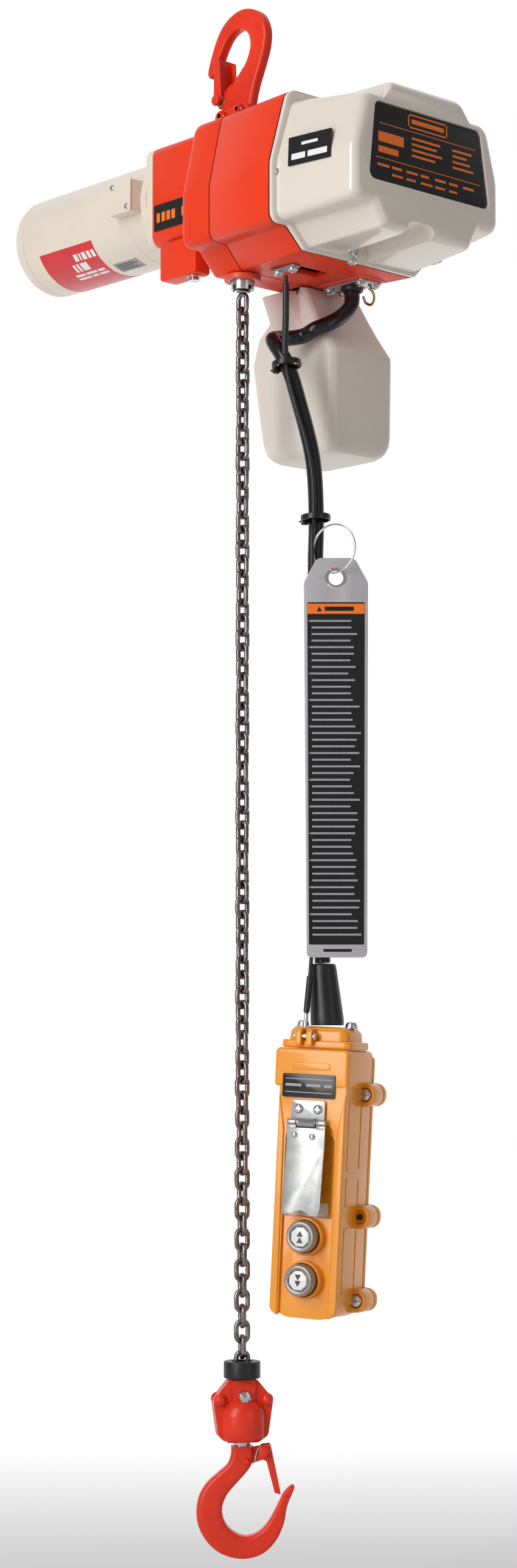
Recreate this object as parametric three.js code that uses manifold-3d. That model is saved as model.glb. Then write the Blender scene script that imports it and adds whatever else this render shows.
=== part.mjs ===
// Electric chain hoist with a push-button pendant, in millimetres.
// Origin: the inner saddle of the top hook. The load chain hangs straight below it, on x = 0, y = 0.
// +X runs along the body towards the control cover, -Y is the load side, +Z is up.
import * as THREE from 'three';
import { mergeVertices } from 'three/addons/utils/BufferGeometryUtils.js';
import Module from 'manifold-3d';

const wasm = await Module();
wasm.setup();

// ---------- driving dimensions ----------
const GAP = 0.3;                 // clearance between touching pieces
const WALL = 4.5;                // casting wall thickness
const BODY_Y = 43;               // centre plane of the body across the load axis
const BODY_TOP = -80;
const BODY_BOTTOM = -205.5;
const SEAM_X = 10.4;             // joint between the two castings
const COVER_X = 90;              // joint between casting and control cover
const END_X = 170;               // rim of the cover's end face
const GEAR_SIDE_X = -28;         // motor end of the gear-side casting

const MOTOR = { y: 43.5, z: -115, radius: 43.5, wall: 3, start: -123.3, seam: -293, end: -308 };
const CASE = { half: 43, x0: -114.7, x1: -28.3, corner: 9 };

const WIRE = 4;                  // load chain wire diameter
const PITCH = 12;                // load chain pitch
const POCKETS = 9;               // links laid flat round the sheave
const SHEAVE = { radius: (POCKETS * PITCH) / Math.PI, z: -128 };
const SHAFT = { radius: 6, boreRadius: 6.3 };
const BEARING_RADIUS = 12;
const IDLER = { y: 63.5, z: -124.1 };

const GUIDE_BOTTOM = -218.4;
const CHAIN_TOP = GUIDE_BOTTOM - 0.9;
const LOAD_LINKS = 74;
const PIN_Z = CHAIN_TOP - WIRE - PITCH / 2 - (LOAD_LINKS - 1) * PITCH - WIRE / 2;   // in the last link
const HOOK_TURN = THREE.MathUtils.degToRad(47.5);   // rest angle of the swivel hook about Z
const YOKE_TURN = THREE.MathUtils.degToRad(58.5);   // rest angle of the yoke about Z

const CABLE_RADIUS = 6.3;
const CABLE_ROUTE = [
  [43, 83, -211.6], [43, 83, -219.5], [43.2, 80.8, -226], [43.4, 72.5, -234], [42.8, 60.2, -242],
  [34.8, 49.4, -248], [23, 47, -252], [15, 39, -254], [12.5, 30, -255], [14.5, 22, -257],
  [19.5, 15.5, -260], [26, 12, -265.5], [33, 11, -273], [39.5, 12, -283.5], [43.5, 15, -297],
  [46.5, 19.5, -316], [50, 24, -337], [53.5, 27, -358], [56, 28, -380], [59, 26.5, -415],
  [61, 23.5, -450], [65, 20, -509], [70, 16, -583], [76, 12, -656], [81, 9, -719],
  [85.2, 7.4, -767.1],
];
const STRAIN_WIRE_RADIUS = 1.5;
const STRAIN_WIRE_ROUTE = [
  [45, 6.5, -213], [45.3, 6, -245], [45.5, 5.5, -284], [51, 10, -316], [58, 17.5, -352],
  [62.5, 19.5, -380], [65.6, 17.6, -414], [68.1, 13.6, -427], [68.5, 13, -452], [71.5, 10.5, -509],
  [76, 7, -583], [82, 3, -656], [85.5, -1, -719], [87.5, -7.5, -770], [88.9, -12.7, -800], [89.2, -15.2, -817.6],
];

const PENDANT = { x: 88.8, y: 8.1, z: -830, yaw: 22.5, roll: 2.8 };
const BUTTON_TRAVEL_GAP = 4.6;   // a button's ring stands this far off the case, its travel included

// ---------- solids from three.js geometry ----------
function solidOf(geometry) {
  const bare = geometry.clone();
  bare.deleteAttribute('normal');
  bare.deleteAttribute('uv');
  const merged = mergeVertices(bare, 1e-4);
  const vertProperties = new Float32Array(merged.attributes.position.array);
  const triVerts = new Uint32Array(merged.index.array);
  return new wasm.Manifold(new wasm.Mesh({ numProp: 3, vertProperties, triVerts }));
}

function geometryOf(manifold) {
  const mesh = manifold.getMesh();
  const geometry = new THREE.BufferGeometry();
  geometry.setAttribute('position', new THREE.BufferAttribute(new Float32Array(mesh.vertProperties), 3));
  geometry.setIndex(new THREE.BufferAttribute(new Uint32Array(mesh.triVerts), 1));
  return geometry;
}

function join(...geometries) {
  return geometryOf(geometries.map(solidOf).reduce((sum, next) => sum.add(next)));
}

function cut(geometry, ...tools) {
  return geometryOf(tools.map(solidOf).reduce((rest, tool) => rest.subtract(tool), solidOf(geometry)));
}

// ---------- shape helpers ----------
function box(x0, x1, y0, y1, z0, z1) {
  const geometry = new THREE.BoxGeometry(x1 - x0, y1 - y0, z1 - z0);
  geometry.translate((x0 + x1) / 2, (y0 + y1) / 2, (z0 + z1) / 2);
  return geometry;
}

// Axis frames: an outline's (u, v) lie on the two axes after `axis`, and depth runs along `axis`.
const AXIS_FRAME = {
  x: new THREE.Matrix4().makeBasis(
    new THREE.Vector3(0, 1, 0), new THREE.Vector3(0, 0, 1), new THREE.Vector3(1, 0, 0)),
  y: new THREE.Matrix4().makeBasis(
    new THREE.Vector3(0, 0, 1), new THREE.Vector3(1, 0, 0), new THREE.Vector3(0, 1, 0)),
  z: new THREE.Matrix4(),
};

// A prism along an axis. Outline points are (y, z) for x, (z, x) for y and (x, y) for z.
function prism(axis, outline, from, to, holes = []) {
  const shape = new THREE.Shape(outline.map(([u, v]) => new THREE.Vector2(u, v)));
  holes.forEach((hole) => shape.holes.push(new THREE.Path(hole.map(([u, v]) => new THREE.Vector2(u, v)))));
  const geometry = new THREE.ExtrudeGeometry(shape, { depth: to - from, bevelEnabled: false });
  geometry.translate(0, 0, from);
  return geometry.applyMatrix4(AXIS_FRAME[axis]);
}

// A plate standing in the XZ plane, between two y values, drawn with (x, z) points.
function platePrism(outline, y0, y1) {
  return prism('y', outline.map(([x, z]) => [z, x]).reverse(), y0, y1);
}

// A turned piece: profile points are (distance along the axis, radius), and the ends lie on the axis.
function turned(axis, profile, centre, segments = 20) {
  const points = profile.map(([along, radius]) => new THREE.Vector2(radius, along));
  const geometry = new THREE.LatheGeometry(points, segments);
  geometry.rotateX(Math.PI / 2);
  geometry.applyMatrix4(AXIS_FRAME[axis]);
  return geometry.translate(...centre);
}

function rod(axis, radius, from, to, centre, segments = 20) {
  return turned(axis, [[from, 0], [from, radius], [to, radius], [to, 0]], centre, segments);
}

function ring(axis, inner, outer, from, to, centre, segments = 20) {
  const profile = [[from, inner], [from, outer], [to, outer], [to, inner], [from, inner]];
  return turned(axis, profile, centre, segments);
}

// A polygon with its corners rounded: points are [u, v, radius], and each arc has `steps` chords.
function rounded(points, steps = 2) {
  const outline = [];
  points.forEach(([u, v, radius = 0], index) => {
    if (radius === 0) {
      outline.push([u, v]);
      return;
    }
    const corner = new THREE.Vector2(u, v);
    const before = new THREE.Vector2(...points.at(index - 1)).sub(corner).normalize();
    const after = new THREE.Vector2(...points[(index + 1) % points.length]).sub(corner).normalize();
    const half = Math.acos(THREE.MathUtils.clamp(before.dot(after), -1, 1)) / 2;
    const reach = radius / Math.tan(half);
    const centre = before.clone().add(after).normalize().multiplyScalar(radius / Math.sin(half)).add(corner);
    const start = before.multiplyScalar(reach).add(corner).sub(centre);
    const end = after.multiplyScalar(reach).add(corner).sub(centre);
    const sweep = Math.atan2(start.x * end.y - start.y * end.x, start.dot(end));
    for (let step = 0; step <= steps; step += 1) {
      const arm = start.clone().rotateAround(new THREE.Vector2(), (sweep * step) / steps);
      outline.push([centre.x + arm.x, centre.y + arm.y]);
    }
  });
  return outline;
}

function rectangle(u0, u1, v0, v1, radius = 0, steps = 2) {
  return rounded([[u0, v0, radius], [u1, v0, radius], [u1, v1, radius], [u0, v1, radius]], steps);
}

// A closed smooth outline through points, as `count` chords.
function smoothOutline(points, count) {
  const curve = new THREE.CatmullRomCurve3(points.map(([u, v]) => new THREE.Vector3(u, v, 0)), true);
  return curve.getSpacedPoints(count).slice(0, count).map((point) => [point.x, point.y]);
}

// A skin over rings of equal length, closed at both ends; each ring runs counterclockwise
// seen from the side that the rings advance towards.
function loft(rings) {
  const count = rings[0].length;
  const positions = rings.flat().flat();
  const index = [];
  for (let level = 0; level < rings.length - 1; level += 1) {
    for (let side = 0; side < count; side += 1) {
      const next = (side + 1) % count;
      const a = level * count + side;
      const b = level * count + next;
      index.push(a, b, b + count, a, b + count, a + count);
    }
  }
  [[0, true], [rings.length - 1, false]].forEach(([level, flipped]) => {
    const middle = rings[level].reduce((sum, point) => sum.map((value, axis) => value + point[axis] / count),
      [0, 0, 0]);
    const hub = positions.length / 3;
    positions.push(...middle);
    for (let side = 0; side < count; side += 1) {
      const a = level * count + side;
      const b = level * count + ((side + 1) % count);
      index.push(...(flipped ? [hub, b, a] : [hub, a, b]));
    }
  });
  const geometry = new THREE.BufferGeometry();
  geometry.setAttribute('position', new THREE.BufferAttribute(new Float32Array(positions), 3));
  geometry.setIndex(index);
  return geometry;
}

// A tube along a smooth route of points.
function tube(route, radius, steps, sides) {
  const curve = new THREE.CatmullRomCurve3(route.map((point) => new THREE.Vector3(...point)), false, 'centripetal');
  const section = new THREE.Shape();
  for (let side = 0; side < sides; side += 1) {
    const angle = (side * 2 * Math.PI) / sides;
    const point = [radius * Math.cos(angle), radius * Math.sin(angle)];
    if (side === 0) section.moveTo(...point);
    else section.lineTo(...point);
  }
  return new THREE.ExtrudeGeometry(section, { steps, bevelEnabled: false, extrudePath: curve });
}

// ---------- colours and finishes ----------
const finish = (color, roughness, metalness = 0) => ({ color, roughness, metalness });
const ORANGE = finish(0xee4423, 0.35);
const RED = finish(0xd8301c, 0.4);
const CREAM = finish(0xe6dccb, 0.3);
const YELLOW = finish(0xf6a61c, 0.35);
const BLACK = finish(0x18181a, 0.6);
const STEEL = finish(0xb9bcc0, 0.35, 0.9);
const CHAIN_STEEL = finish(0x4a4038, 0.4, 0.9);
const GALVANISED = finish(0xa9adac, 0.5, 0.9);

const hoist = new THREE.Group();

function add(name, geometry, look, parent = hoist) {
  const mesh = new THREE.Mesh(geometry, new THREE.MeshStandardMaterial(look));
  mesh.name = name;
  parent.add(mesh);
  return mesh;
}

// ---------- top suspension ----------
const HOOK_HALF = 5;
const LATCH_PIVOT = [-21, -56.5];
const SUSPENSION_BOLTS = [['suspension_bolt_left', -13.5, -72], ['suspension_bolt_right', 8, -71]];

function topHook() {
  const outer = [[14, -66], [21.5, -44], [28.5, -29], [32.5, -14], [28.5, 2.5], [17, 12.5], [3, 16],
    [-13, 12], [-25, 2], [-33, -12], [-38.5, -27], [-36.5, -32.5], [-31, -31.5]];
  const inner = [[-26.5, -21.5], [-20, -11.5], [-13, -3.8], [-6, -0.6], [0, 0], [6.5, -2.8], [11.5, -8.5],
    [13, -16.5], [9.8, -27], [1.5, -36], [-8, -43.5]];
  const bow = new THREE.CatmullRomCurve3(
    [...outer, ...inner].map(([x, z]) => new THREE.Vector3(x, z, 0)), false);
  const ear = [[-13, -47.5], [-19, -50.5], [-25, -53], [-26.5, -57.5], [-23.5, -61.8], [-15.5, -63.5]];
  const shank = [[-15.5, -84], [14, -84]];
  const outline = [...bow.getPoints(46).map((point) => [point.x, point.y]), ...ear, ...shank];
  const plate = platePrism(outline, -HOOK_HALF, HOOK_HALF);
  const holes = SUSPENSION_BOLTS.map(([, x, z]) => rod('y', 3.3, -8, 8, [x, 0, z], 12));
  holes.push(rod('y', 2.5, -8, 8, [LATCH_PIVOT[0], 0, LATCH_PIVOT[1]], 12));
  return cut(plate, ...holes);
}

function topLatch() {
  const ear = rounded([[-25.2, -19, 1], [-25.2, -48, 0], [-26, -57, 4], [-21, -61.8, 4.5], [-16.3, -56.5, 4],
    [-17.5, -40, 0], [-18.5, -22, 2]], 2);
  const sheet = platePrism(ear, -9.6, 9.6);
  const inside = platePrism([[-23.6, -10], [-10, -10], [-10, -70], [-30, -70], [-30, -49], [-23.6, -49]], -8, 8);
  const pivot = rod('y', 2.5, -12, 12, [LATCH_PIVOT[0], 0, LATCH_PIVOT[1]], 12);
  return cut(sheet, inside, pivot);
}

function boltWithNut(x, z, halfGrip, shankRadius, nutRadius, headDepth) {
  const grip = halfGrip + GAP;
  const body = rod('y', shankRadius, -grip - 1, grip + 1, [x, 0, z], 10);
  const head = rod('y', nutRadius, -grip - headDepth, -grip, [x, 0, z], 6);
  const nut = rod('y', nutRadius, grip, grip + headDepth, [x, 0, z], 6);
  return join(body, head, nut);
}

function suspensionPlate(side) {
  const outline = rounded([[-24, -65.5, 5], [-24, -90, 0], [17, -90, 0], [17, -65.5, 5]], 2);
  const near = HOOK_HALF + GAP;
  const plate = platePrism(outline, side > 0 ? near : -near - 4, side > 0 ? near + 4 : -near);
  return cut(plate, ...SUSPENSION_BOLTS.map(([, x, z]) => rod('y', 3.3, -12, 12, [x, 0, z], 12)));
}

add('top_hook', topHook(), RED);
add('top_latch', topLatch(), RED);
add('top_latch_bolt', boltWithNut(...LATCH_PIVOT, 9.6, 2, 4.4, 3.4), RED);
add('suspension_plate_front', suspensionPlate(-1), RED);
add('suspension_plate_back', suspensionPlate(1), RED);
SUSPENSION_BOLTS.forEach(([name, x, z]) => add(name, boltWithNut(x, z, 9.3, 2.9, 4.8, 4), RED));

// ---------- body castings ----------
// A cross-section of the body at x, given by half-widths from the centre plane and by heights.
function bodySection(x, size, inset = 0) {
  const { keel, ledge, side, top, bottom, ledgeZ, topZ } = size;
  const rightHalf = [
    [keel - inset, bottom + inset, 4], [ledge - inset * 0.7, ledgeZ + inset, 5],
    [side - inset, ledgeZ + inset, 8], [side - inset, -142, 24], [top - inset, topZ - inset, 11],
  ];
  const leftHalf = rightHalf.map(([u, z, radius]) => [-u, z, radius]).reverse();
  return rounded([...rightHalf, ...leftHalf]).map(([u, z]) => [x, BODY_Y + u, z]);
}

const SEAM_SIZE = { keel: 54, ledge: 71, side: 89, top: 75, bottom: BODY_BOTTOM, ledgeZ: -187, topZ: BODY_TOP };
const JOINT_SIZE = { keel: 62, ledge: 79, side: 97, top: 79, bottom: -206.5, ledgeZ: -190, topZ: BODY_TOP };
const COVER_SIZE = { keel: 58, ledge: 74, side: 92.5, top: 75, bottom: -204, ledgeZ: -188, topZ: -88 };
const END_SIZE = { keel: 50, ledge: 60, side: 82, top: 70, bottom: -201, ledgeZ: -183, topZ: -96 };

// Inset of a section whose edge is rounded over towards an end.
const roundedIn = (size, by) => ({
  keel: size.keel - by, ledge: size.ledge - by, side: size.side - by, top: size.top - by,
  bottom: size.bottom + by, ledgeZ: size.ledgeZ + by, topZ: size.topZ - by,
});

const HOOK_SLOT = box(-26, 19, -10, 10, -100, -70);
const CHAIN_HOLE = rod('z', 9.6, -215, -190, [0, 0, 0], 24);
const SLACK_HOLE = rod('z', 9.6, -215, -190, [0, 2 * SHEAVE.radius, 0], 16);
const SHEAVE_AXIS = [0, SHEAVE.radius, SHEAVE.z];

function gearSideHousing() {
  const seam = SEAM_X - 0.4;
  const shell = loft([
    bodySection(GEAR_SIDE_X, roundedIn(SEAM_SIZE, 9)), bodySection(GEAR_SIDE_X + 2.5, roundedIn(SEAM_SIZE, 4)),
    bodySection(GEAR_SIDE_X + 9, SEAM_SIZE), bodySection(seam, SEAM_SIZE),
  ]);
  const cavity = loft([
    bodySection(GEAR_SIDE_X + 6, SEAM_SIZE, 9), bodySection(GEAR_SIDE_X + 10, SEAM_SIZE, WALL),
    bodySection(seam + 2, SEAM_SIZE, WALL),
  ]);
  const boss = cut(rod('z', 15, -211, -206.2, [0, 0, 0], 24), CHAIN_HOLE);
  const bossRoot = cut(rod('z', 13, -206.6, -203, [0, 0, 0], 24), box(seam, 20, -20, 20, -220, -200));
  const shaftBore = rod('x', BEARING_RADIUS + GAP, -40, 0, SHEAVE_AXIS);
  const body = cut(shell, cavity, HOOK_SLOT, SLACK_HOLE, shaftBore);
  return cut(join(body, bossRoot, boss), CHAIN_HOLE);
}

function mainHousing() {
  const from = SEAM_X + 0.8;
  const to = COVER_X - 0.7;
  const shell = loft([bodySection(from, SEAM_SIZE), bodySection(to, JOINT_SIZE)]);
  const cavity = loft([bodySection(from - 2, SEAM_SIZE, WALL), bodySection(40, SEAM_SIZE, WALL)]);
  const bay = loft([bodySection(46, SEAM_SIZE, WALL), bodySection(to + 2, JOINT_SIZE, WALL)]);
  const shaftBore = rod('x', BEARING_RADIUS + GAP, 30, 60, SHEAVE_AXIS);
  const anchorSlot = box(35, 54, 15, 49, -212, -196);
  const cableBore = rod('z', 8, -212, -190, [43, 83, 0], 16);
  return cut(shell, cavity, bay, HOOK_SLOT, CHAIN_HOLE, SLACK_HOLE, shaftBore, anchorSlot, cableBore);
}

function gasket(x0, x1, size) {
  return cut(loft([bodySection(x0, size), bodySection(x1, size)]),
    loft([bodySection(x0 - 1, size, WALL), bodySection(x1 + 1, size, WALL)]),
    HOOK_SLOT);
}

add('gear_side_housing', gearSideHousing(), ORANGE);
add('main_housing', mainHousing(), ORANGE);
add('housing_gasket', gasket(SEAM_X - 0.1, SEAM_X + 0.5, SEAM_SIZE), BLACK);
add('cover_gasket', gasket(COVER_X - 0.4, COVER_X + 0.4, JOINT_SIZE), BLACK);

// ---------- control cover ----------
const PLATE_OUTLINE = [[-15.5, -102.5, 6], [-22.5, -165.5, 6], [113.5, -165.5, 6], [103, -102.5, 6]];
const PLATE_FLOOR = END_X - 2.5;

function controlCover() {
  const flangeEnd = COVER_X + 4;
  const flange = loft([bodySection(COVER_X + 0.7, JOINT_SIZE), bodySection(flangeEnd, JOINT_SIZE)]);
  const hood = loft([
    bodySection(flangeEnd - 1, COVER_SIZE), bodySection(END_X - 9, END_SIZE),
    bodySection(END_X - 2, roundedIn(END_SIZE, 2.5)), bodySection(END_X, roundedIn(END_SIZE, 7)),
  ]);
  const ridge = loft([[COVER_X + 4, 2], [END_X - 9, 0], [END_X - 2.5, -2.5], [END_X - 0.8, -7]].map(([x, lift]) =>
    rounded([[48, -100, 0], [38, -82 + lift, 6], [-38, -82 + lift, 6], [-48, -100, 0]])
      .map(([u, z]) => [x, BODY_Y + u, z])));
  const inside = loft([bodySection(COVER_X, COVER_SIZE, 4), bodySection(END_X - 12, END_SIZE, 5)]);
  const channel = prism('x', rounded([[19, -215, 0], [50, -215, 0], [50, -191, 8], [19, -191, 8]]), 94.5, 180);
  const trough = prism('x', rounded([[14, -212, 0], [55, -212, 0], [55, -187, 8], [14, -187, 8]]), 92, 167);
  const recess = prism('x', rounded(PLATE_OUTLINE), PLATE_FLOOR, END_X + 2);
  const innerWall = cut(inside, trough);
  return cut(join(flange, hood, ridge), innerWall, channel, recess);
}

function nameplate() {
  const outline = rounded(PLATE_OUTLINE.map(([y, z, radius]) => [y + (y < BODY_Y ? 0.6 : -0.6),
    z + (z > -130 ? -0.6 : 0.6), radius]));
  return prism('x', outline, PLATE_FLOOR + GAP, PLATE_FLOOR + 1.3);
}

add('control_cover', controlCover(), CREAM);
add('nameplate', nameplate(), BLACK);
add('circuit_board', box(62, 63.6, 0, 86, -180, -100), finish(0x2d6b3f, 0.6));

// ---------- gear case, motor and what turns in them ----------
const squareSection = (half, corner) => rectangle(
  MOTOR.y - half, MOTOR.y + half, MOTOR.z - half, MOTOR.z + half, corner);
const MOTOR_AXIS = [0, MOTOR.y, MOTOR.z];
const IDLER_AXIS = [0, IDLER.y, IDLER.z];

function gearCase() {
  const shell = prism('x', squareSection(CASE.half, CASE.corner), CASE.x0, CASE.x1);
  const cavity = prism('x', squareSection(CASE.half - WALL, 5), CASE.x0 + 5, CASE.x1 + 2);
  return cut(shell, cavity, rod('x', 13.3, -130, -100, MOTOR_AXIS));
}

function motorFlange() {
  const plate = prism('x', squareSection(CASE.half, CASE.corner), -123, CASE.x0 - GAP);
  return cut(plate, rod('x', 13.3, -130, -100, MOTOR_AXIS));
}

function motorHousing() {
  const { radius, wall, start, seam } = MOTOR;
  return ring('x', radius - wall, radius, seam, start, MOTOR_AXIS, 32);
}

function motorEndCap() {
  const { radius, wall, seam, end } = MOTOR;
  const profile = [[end + 4, 0], [end + 4, radius - 9], [end + 7, radius - wall - 1], [seam - GAP, radius - wall],
    [seam - GAP, radius], [end + 8, radius], [end + 2.4, radius - 2.4], [end, radius - 8], [end, 0]];
  return turned('x', profile.reverse(), MOTOR_AXIS, 32);
}

// A spur gear with straight-sided teeth; `phase` is the angle of one tooth's centre from +Y.
function gearOutline(teeth, module, phase) {
  const pitchRadius = (teeth * module) / 2;
  const step = (2 * Math.PI) / teeth;
  const tip = pitchRadius + 0.9 * module;
  const root = pitchRadius - 1.2 * module;
  const corners = [[root, -0.34], [tip, -0.115], [tip, 0.115], [root, 0.34]];
  const outline = [];
  for (let tooth = 0; tooth < teeth; tooth += 1) {
    corners.forEach(([radius, offset]) => {
      const angle = phase + (tooth + offset) * step;
      outline.push([radius * Math.cos(angle), radius * Math.sin(angle)]);
    });
  }
  return outline;
}

function gearWheel(teeth, module, phase, x0, x1, [, y, z]) {
  return prism('x', gearOutline(teeth, module, phase), x0, x1).translate(0, y, z);
}

const TEETH = { motor: 12, idlerGear: 32, idlerPinion: 12, load: 35 };
const FAST_MODULE = 1;
const SLOW_MODULE = 1.25;
const angleBetween = ([, y0, z0], [, y1, z1]) => Math.atan2(z1 - z0, y1 - y0);
const loadToIdler = angleBetween(SHEAVE_AXIS, IDLER_AXIS);
const idlerToMotor = angleBetween(IDLER_AXIS, MOTOR_AXIS);

function loadGear() {
  const wheel = gearWheel(TEETH.load, SLOW_MODULE, loadToIdler, -83, -73, SHEAVE_AXIS);
  return cut(wheel, rod('x', SHAFT.boreRadius, -90, -60, SHEAVE_AXIS));
}

function intermediateGear() {
  const pinionPhase = loadToIdler + Math.PI + Math.PI / TEETH.idlerPinion;
  return join(
    gearWheel(TEETH.idlerGear, FAST_MODULE, idlerToMotor, -106, -99, IDLER_AXIS),
    gearWheel(TEETH.idlerPinion, SLOW_MODULE, pinionPhase, -100, -71, IDLER_AXIS),
    rod('x', 4, -108.5, -60, IDLER_AXIS, 16),
  );
}

function motorRotor() {
  const pinionPhase = idlerToMotor + Math.PI + Math.PI / TEETH.motor;
  return join(
    gearWheel(TEETH.motor, FAST_MODULE, pinionPhase, -107, -98, MOTOR_AXIS),
    rod('x', 4, -302, -100, MOTOR_AXIS, 16),
    rod('x', 25, -270, -150, MOTOR_AXIS, 32),
  );
}

function loadSheave() {
  const profile = [[-90, 0], [-90, SHAFT.radius], [-12, SHAFT.radius], [-12, 36], [-8, 36], [-7.4, 27],
    [7.4, 27], [8, 36], [12, 36], [12, SHAFT.radius], [48, SHAFT.radius], [48, 0]];
  return turned('x', profile, SHEAVE_AXIS, 24);
}

add('gear_case', gearCase(), ORANGE);
add('motor_flange', motorFlange(), CREAM);
add('motor_housing', motorHousing(), CREAM);
add('motor_end_cap', motorEndCap(), CREAM);
add('motor_stator', ring('x', 26, MOTOR.radius - MOTOR.wall - GAP, -272, -148, MOTOR_AXIS, 32), STEEL);
add('motor_rotor', motorRotor(), STEEL);
add('rotor_bearing_front', ring('x', 4.3, 13, -122.5, -110.5, MOTOR_AXIS, 24), STEEL);
add('rotor_bearing_rear', ring('x', 4.3, 13, -300, -291, MOTOR_AXIS, 24), STEEL);
add('load_sheave', loadSheave(), STEEL);
add('load_gear', loadGear(), STEEL);
add('intermediate_gear', intermediateGear(), STEEL);
add('sheave_bearing_left', ring('x', SHAFT.boreRadius, BEARING_RADIUS, -27.5, -19.5, SHEAVE_AXIS, 24), STEEL);
add('sheave_bearing_right', ring('x', SHAFT.boreRadius, BEARING_RADIUS, 40, 46, SHEAVE_AXIS, 24), STEEL);

const TERMINAL = { x0: -158, x1: -130, z0: -125.5, z1: -97.5, face: -9.8 };
const { x0: tx0, x1: tx1, z0: tz0, z1: tz1 } = TERMINAL;
add('terminal_box', cut(
  box(tx0, tx1, TERMINAL.face, 12, tz0, tz1), rod('x', MOTOR.radius + GAP, -170, -125, MOTOR_AXIS, 32),
), CREAM);
add('terminal_box_cover', prism('y', rectangle(tz0 - 0.3, tz1 + 0.3, tx0 - 0.3, tx1 + 0.3, 1.5, 2),
  TERMINAL.face - 1.9, TERMINAL.face - GAP), CREAM);
add('balance_weight', prism('y', rectangle(-191, -158.6, -104, -59, 3, 2), 0, 17), ORANGE);

// ---------- chain ----------
// One link standing along Z about the origin, its plane turned about Z from XZ.
function chainLink(z, turn) {
  const halfLength = PITCH / 2 + WIRE;
  const halfWidth = WIRE * 1.7;
  const outer = [[-halfWidth, -halfLength], [halfWidth, -halfLength], [halfWidth, halfLength],
    [-halfWidth, halfLength]];
  const eye = [halfWidth - WIRE, PITCH / 2 - 0.1];
  const hole = [[-eye[0], -eye[1]], [eye[0], -eye[1]], [eye[0], eye[1]], [-eye[0], eye[1]]];
  const geometry = prism('z', outer, -WIRE / 2, WIRE / 2, [hole]);
  geometry.rotateX(Math.PI / 2);
  geometry.rotateZ(turn);
  return geometry.translate(0, 0, z);
}

function loadChain() {
  const turningLinks = 24;         // the last links turn to meet the pin
  const links = [];
  for (let index = 0; index < LOAD_LINKS; index += 1) {
    const z = CHAIN_TOP - PITCH / 2 - WIRE - index * PITCH;
    const late = Math.max(0, index + 1 - (LOAD_LINKS - turningLinks)) / turningLinks;
    links.push(chainLink(z, (index % 2) * (Math.PI / 2) + (YOKE_TURN - Math.PI / 2) * late));
  }
  return join(...links);
}

function hoistChain() {
  const links = [];
  const lead = (CHAIN_TOP + GAP + WIRE + PITCH / 2);
  for (let z = lead; z < SHEAVE.z - PITCH * 0.4; z += PITCH) {
    links.push(chainLink(z, (Math.round((z - lead) / PITCH) % 2 + 1) * (Math.PI / 2)));
  }
  const stages = links.length;
  for (let index = 0; index <= POCKETS; index += 1) {
    const angle = (index * Math.PI) / POCKETS;
    const link = chainLink(0, ((stages + index) % 2 + 1) * (Math.PI / 2));
    link.translate(0, -SHEAVE.radius, 0).rotateX(-angle);
    links.push(link.translate(0, SHEAVE.radius, SHEAVE.z));
  }
  for (let index = 1; index <= 11; index += 1) {
    const link = chainLink(SHEAVE.z - index * PITCH, ((stages + POCKETS + index) % 2 + 1) * (Math.PI / 2));
    links.push(link.translate(0, 2 * SHEAVE.radius, 0));
  }
  const heap = turned('z', [[-341.5, 0], [-341.5, 24], [-330, 30], [-300, 28], [-268, 12], [-262, 0]],
    [-2, 95, 0], 14);
  const tail = tube([[0, 2 * SHEAVE.radius, -262], [-1, 74, -276], [-2, 84, -296]], 4, 4, 6);
  return join(...links, tail, heap);
}

add('load_chain', loadChain(), CHAIN_STEEL);
add('slack_chain', hoistChain(), CHAIN_STEEL);
add('chain_guide', ring('z', 7.6, 9.3, GUIDE_BOTTOM, -199, [0, 0, 0], 24), STEEL);

// ---------- chain bucket ----------
// Levels of the bucket: z, x0, x1, y0, y1, corner radius.
const BUCKET_LEVELS = [
  [-206.6, -42, 11.5, 57, 121.8, 6], [-231, -32, 24.5, 57, 125.5, 6], [-242, -45.5, 31.5, 57, 127, 7],
  [-262, -53.5, 45, 57, 130, 8], [-298, -47.8, 45.3, 57, 129.5, 8], [-334, -42, 45.5, 57, 129, 9],
  [-344, -38.5, 43.5, 59, 126.5, 11], [-348.5, -31, 36.5, 66, 119.5, 13],
];

function bucketRing([z, x0, x1, y0, y1, corner], inset, lift) {
  return rectangle(x0 + inset, x1 - inset, y0 + inset, y1 - inset, corner - inset * 0.6, 3)
    .map(([x, y]) => [x, y, z + lift]);
}

function chainBucket() {
  const outside = BUCKET_LEVELS.toReversed().map((level) => bucketRing(level, 0, 0));
  const inside = BUCKET_LEVELS.map((level, index) => bucketRing(level, 2.6, index > 5 ? 3 : 0));
  return loft([...outside, ...inside]);
}

add('chain_bucket', chainBucket(), CREAM);

// ---------- underside fittings ----------
const GLAND = { x: 43, y: 83 };

function glandPlate() {
  const base = prism('z', rectangle(GLAND.x - 24, GLAND.x + 24, GLAND.y - 13, GLAND.y + 13, 4), -211, -206.9);
  const nut = rod('z', 8.6, -213.5, -210, [GLAND.x, GLAND.y, 0], 20);
  const heads = [-18, 18].flatMap((dx) => [-8, 8].map((dy) =>
    rod('z', 4.2, -214.5, -210, [GLAND.x + dx, GLAND.y + dy, 0], 10)));
  return cut(join(base, nut, ...heads), rod('z', CABLE_RADIUS + GAP, -220, -200, [GLAND.x, GLAND.y, 0], 20));
}

function wireClamp() {
  const bar = box(31, 58, 2, 11, -209, -206.2);
  const heads = [36, 53].map((x) => rod('z', 4.3, -212.8, -208, [x, 6.5, 0], 10));
  return join(bar, ...heads);
}

add('gland_plate', glandPlate(), STEEL);
add('wire_clamp', wireClamp(), STEEL);

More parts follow.
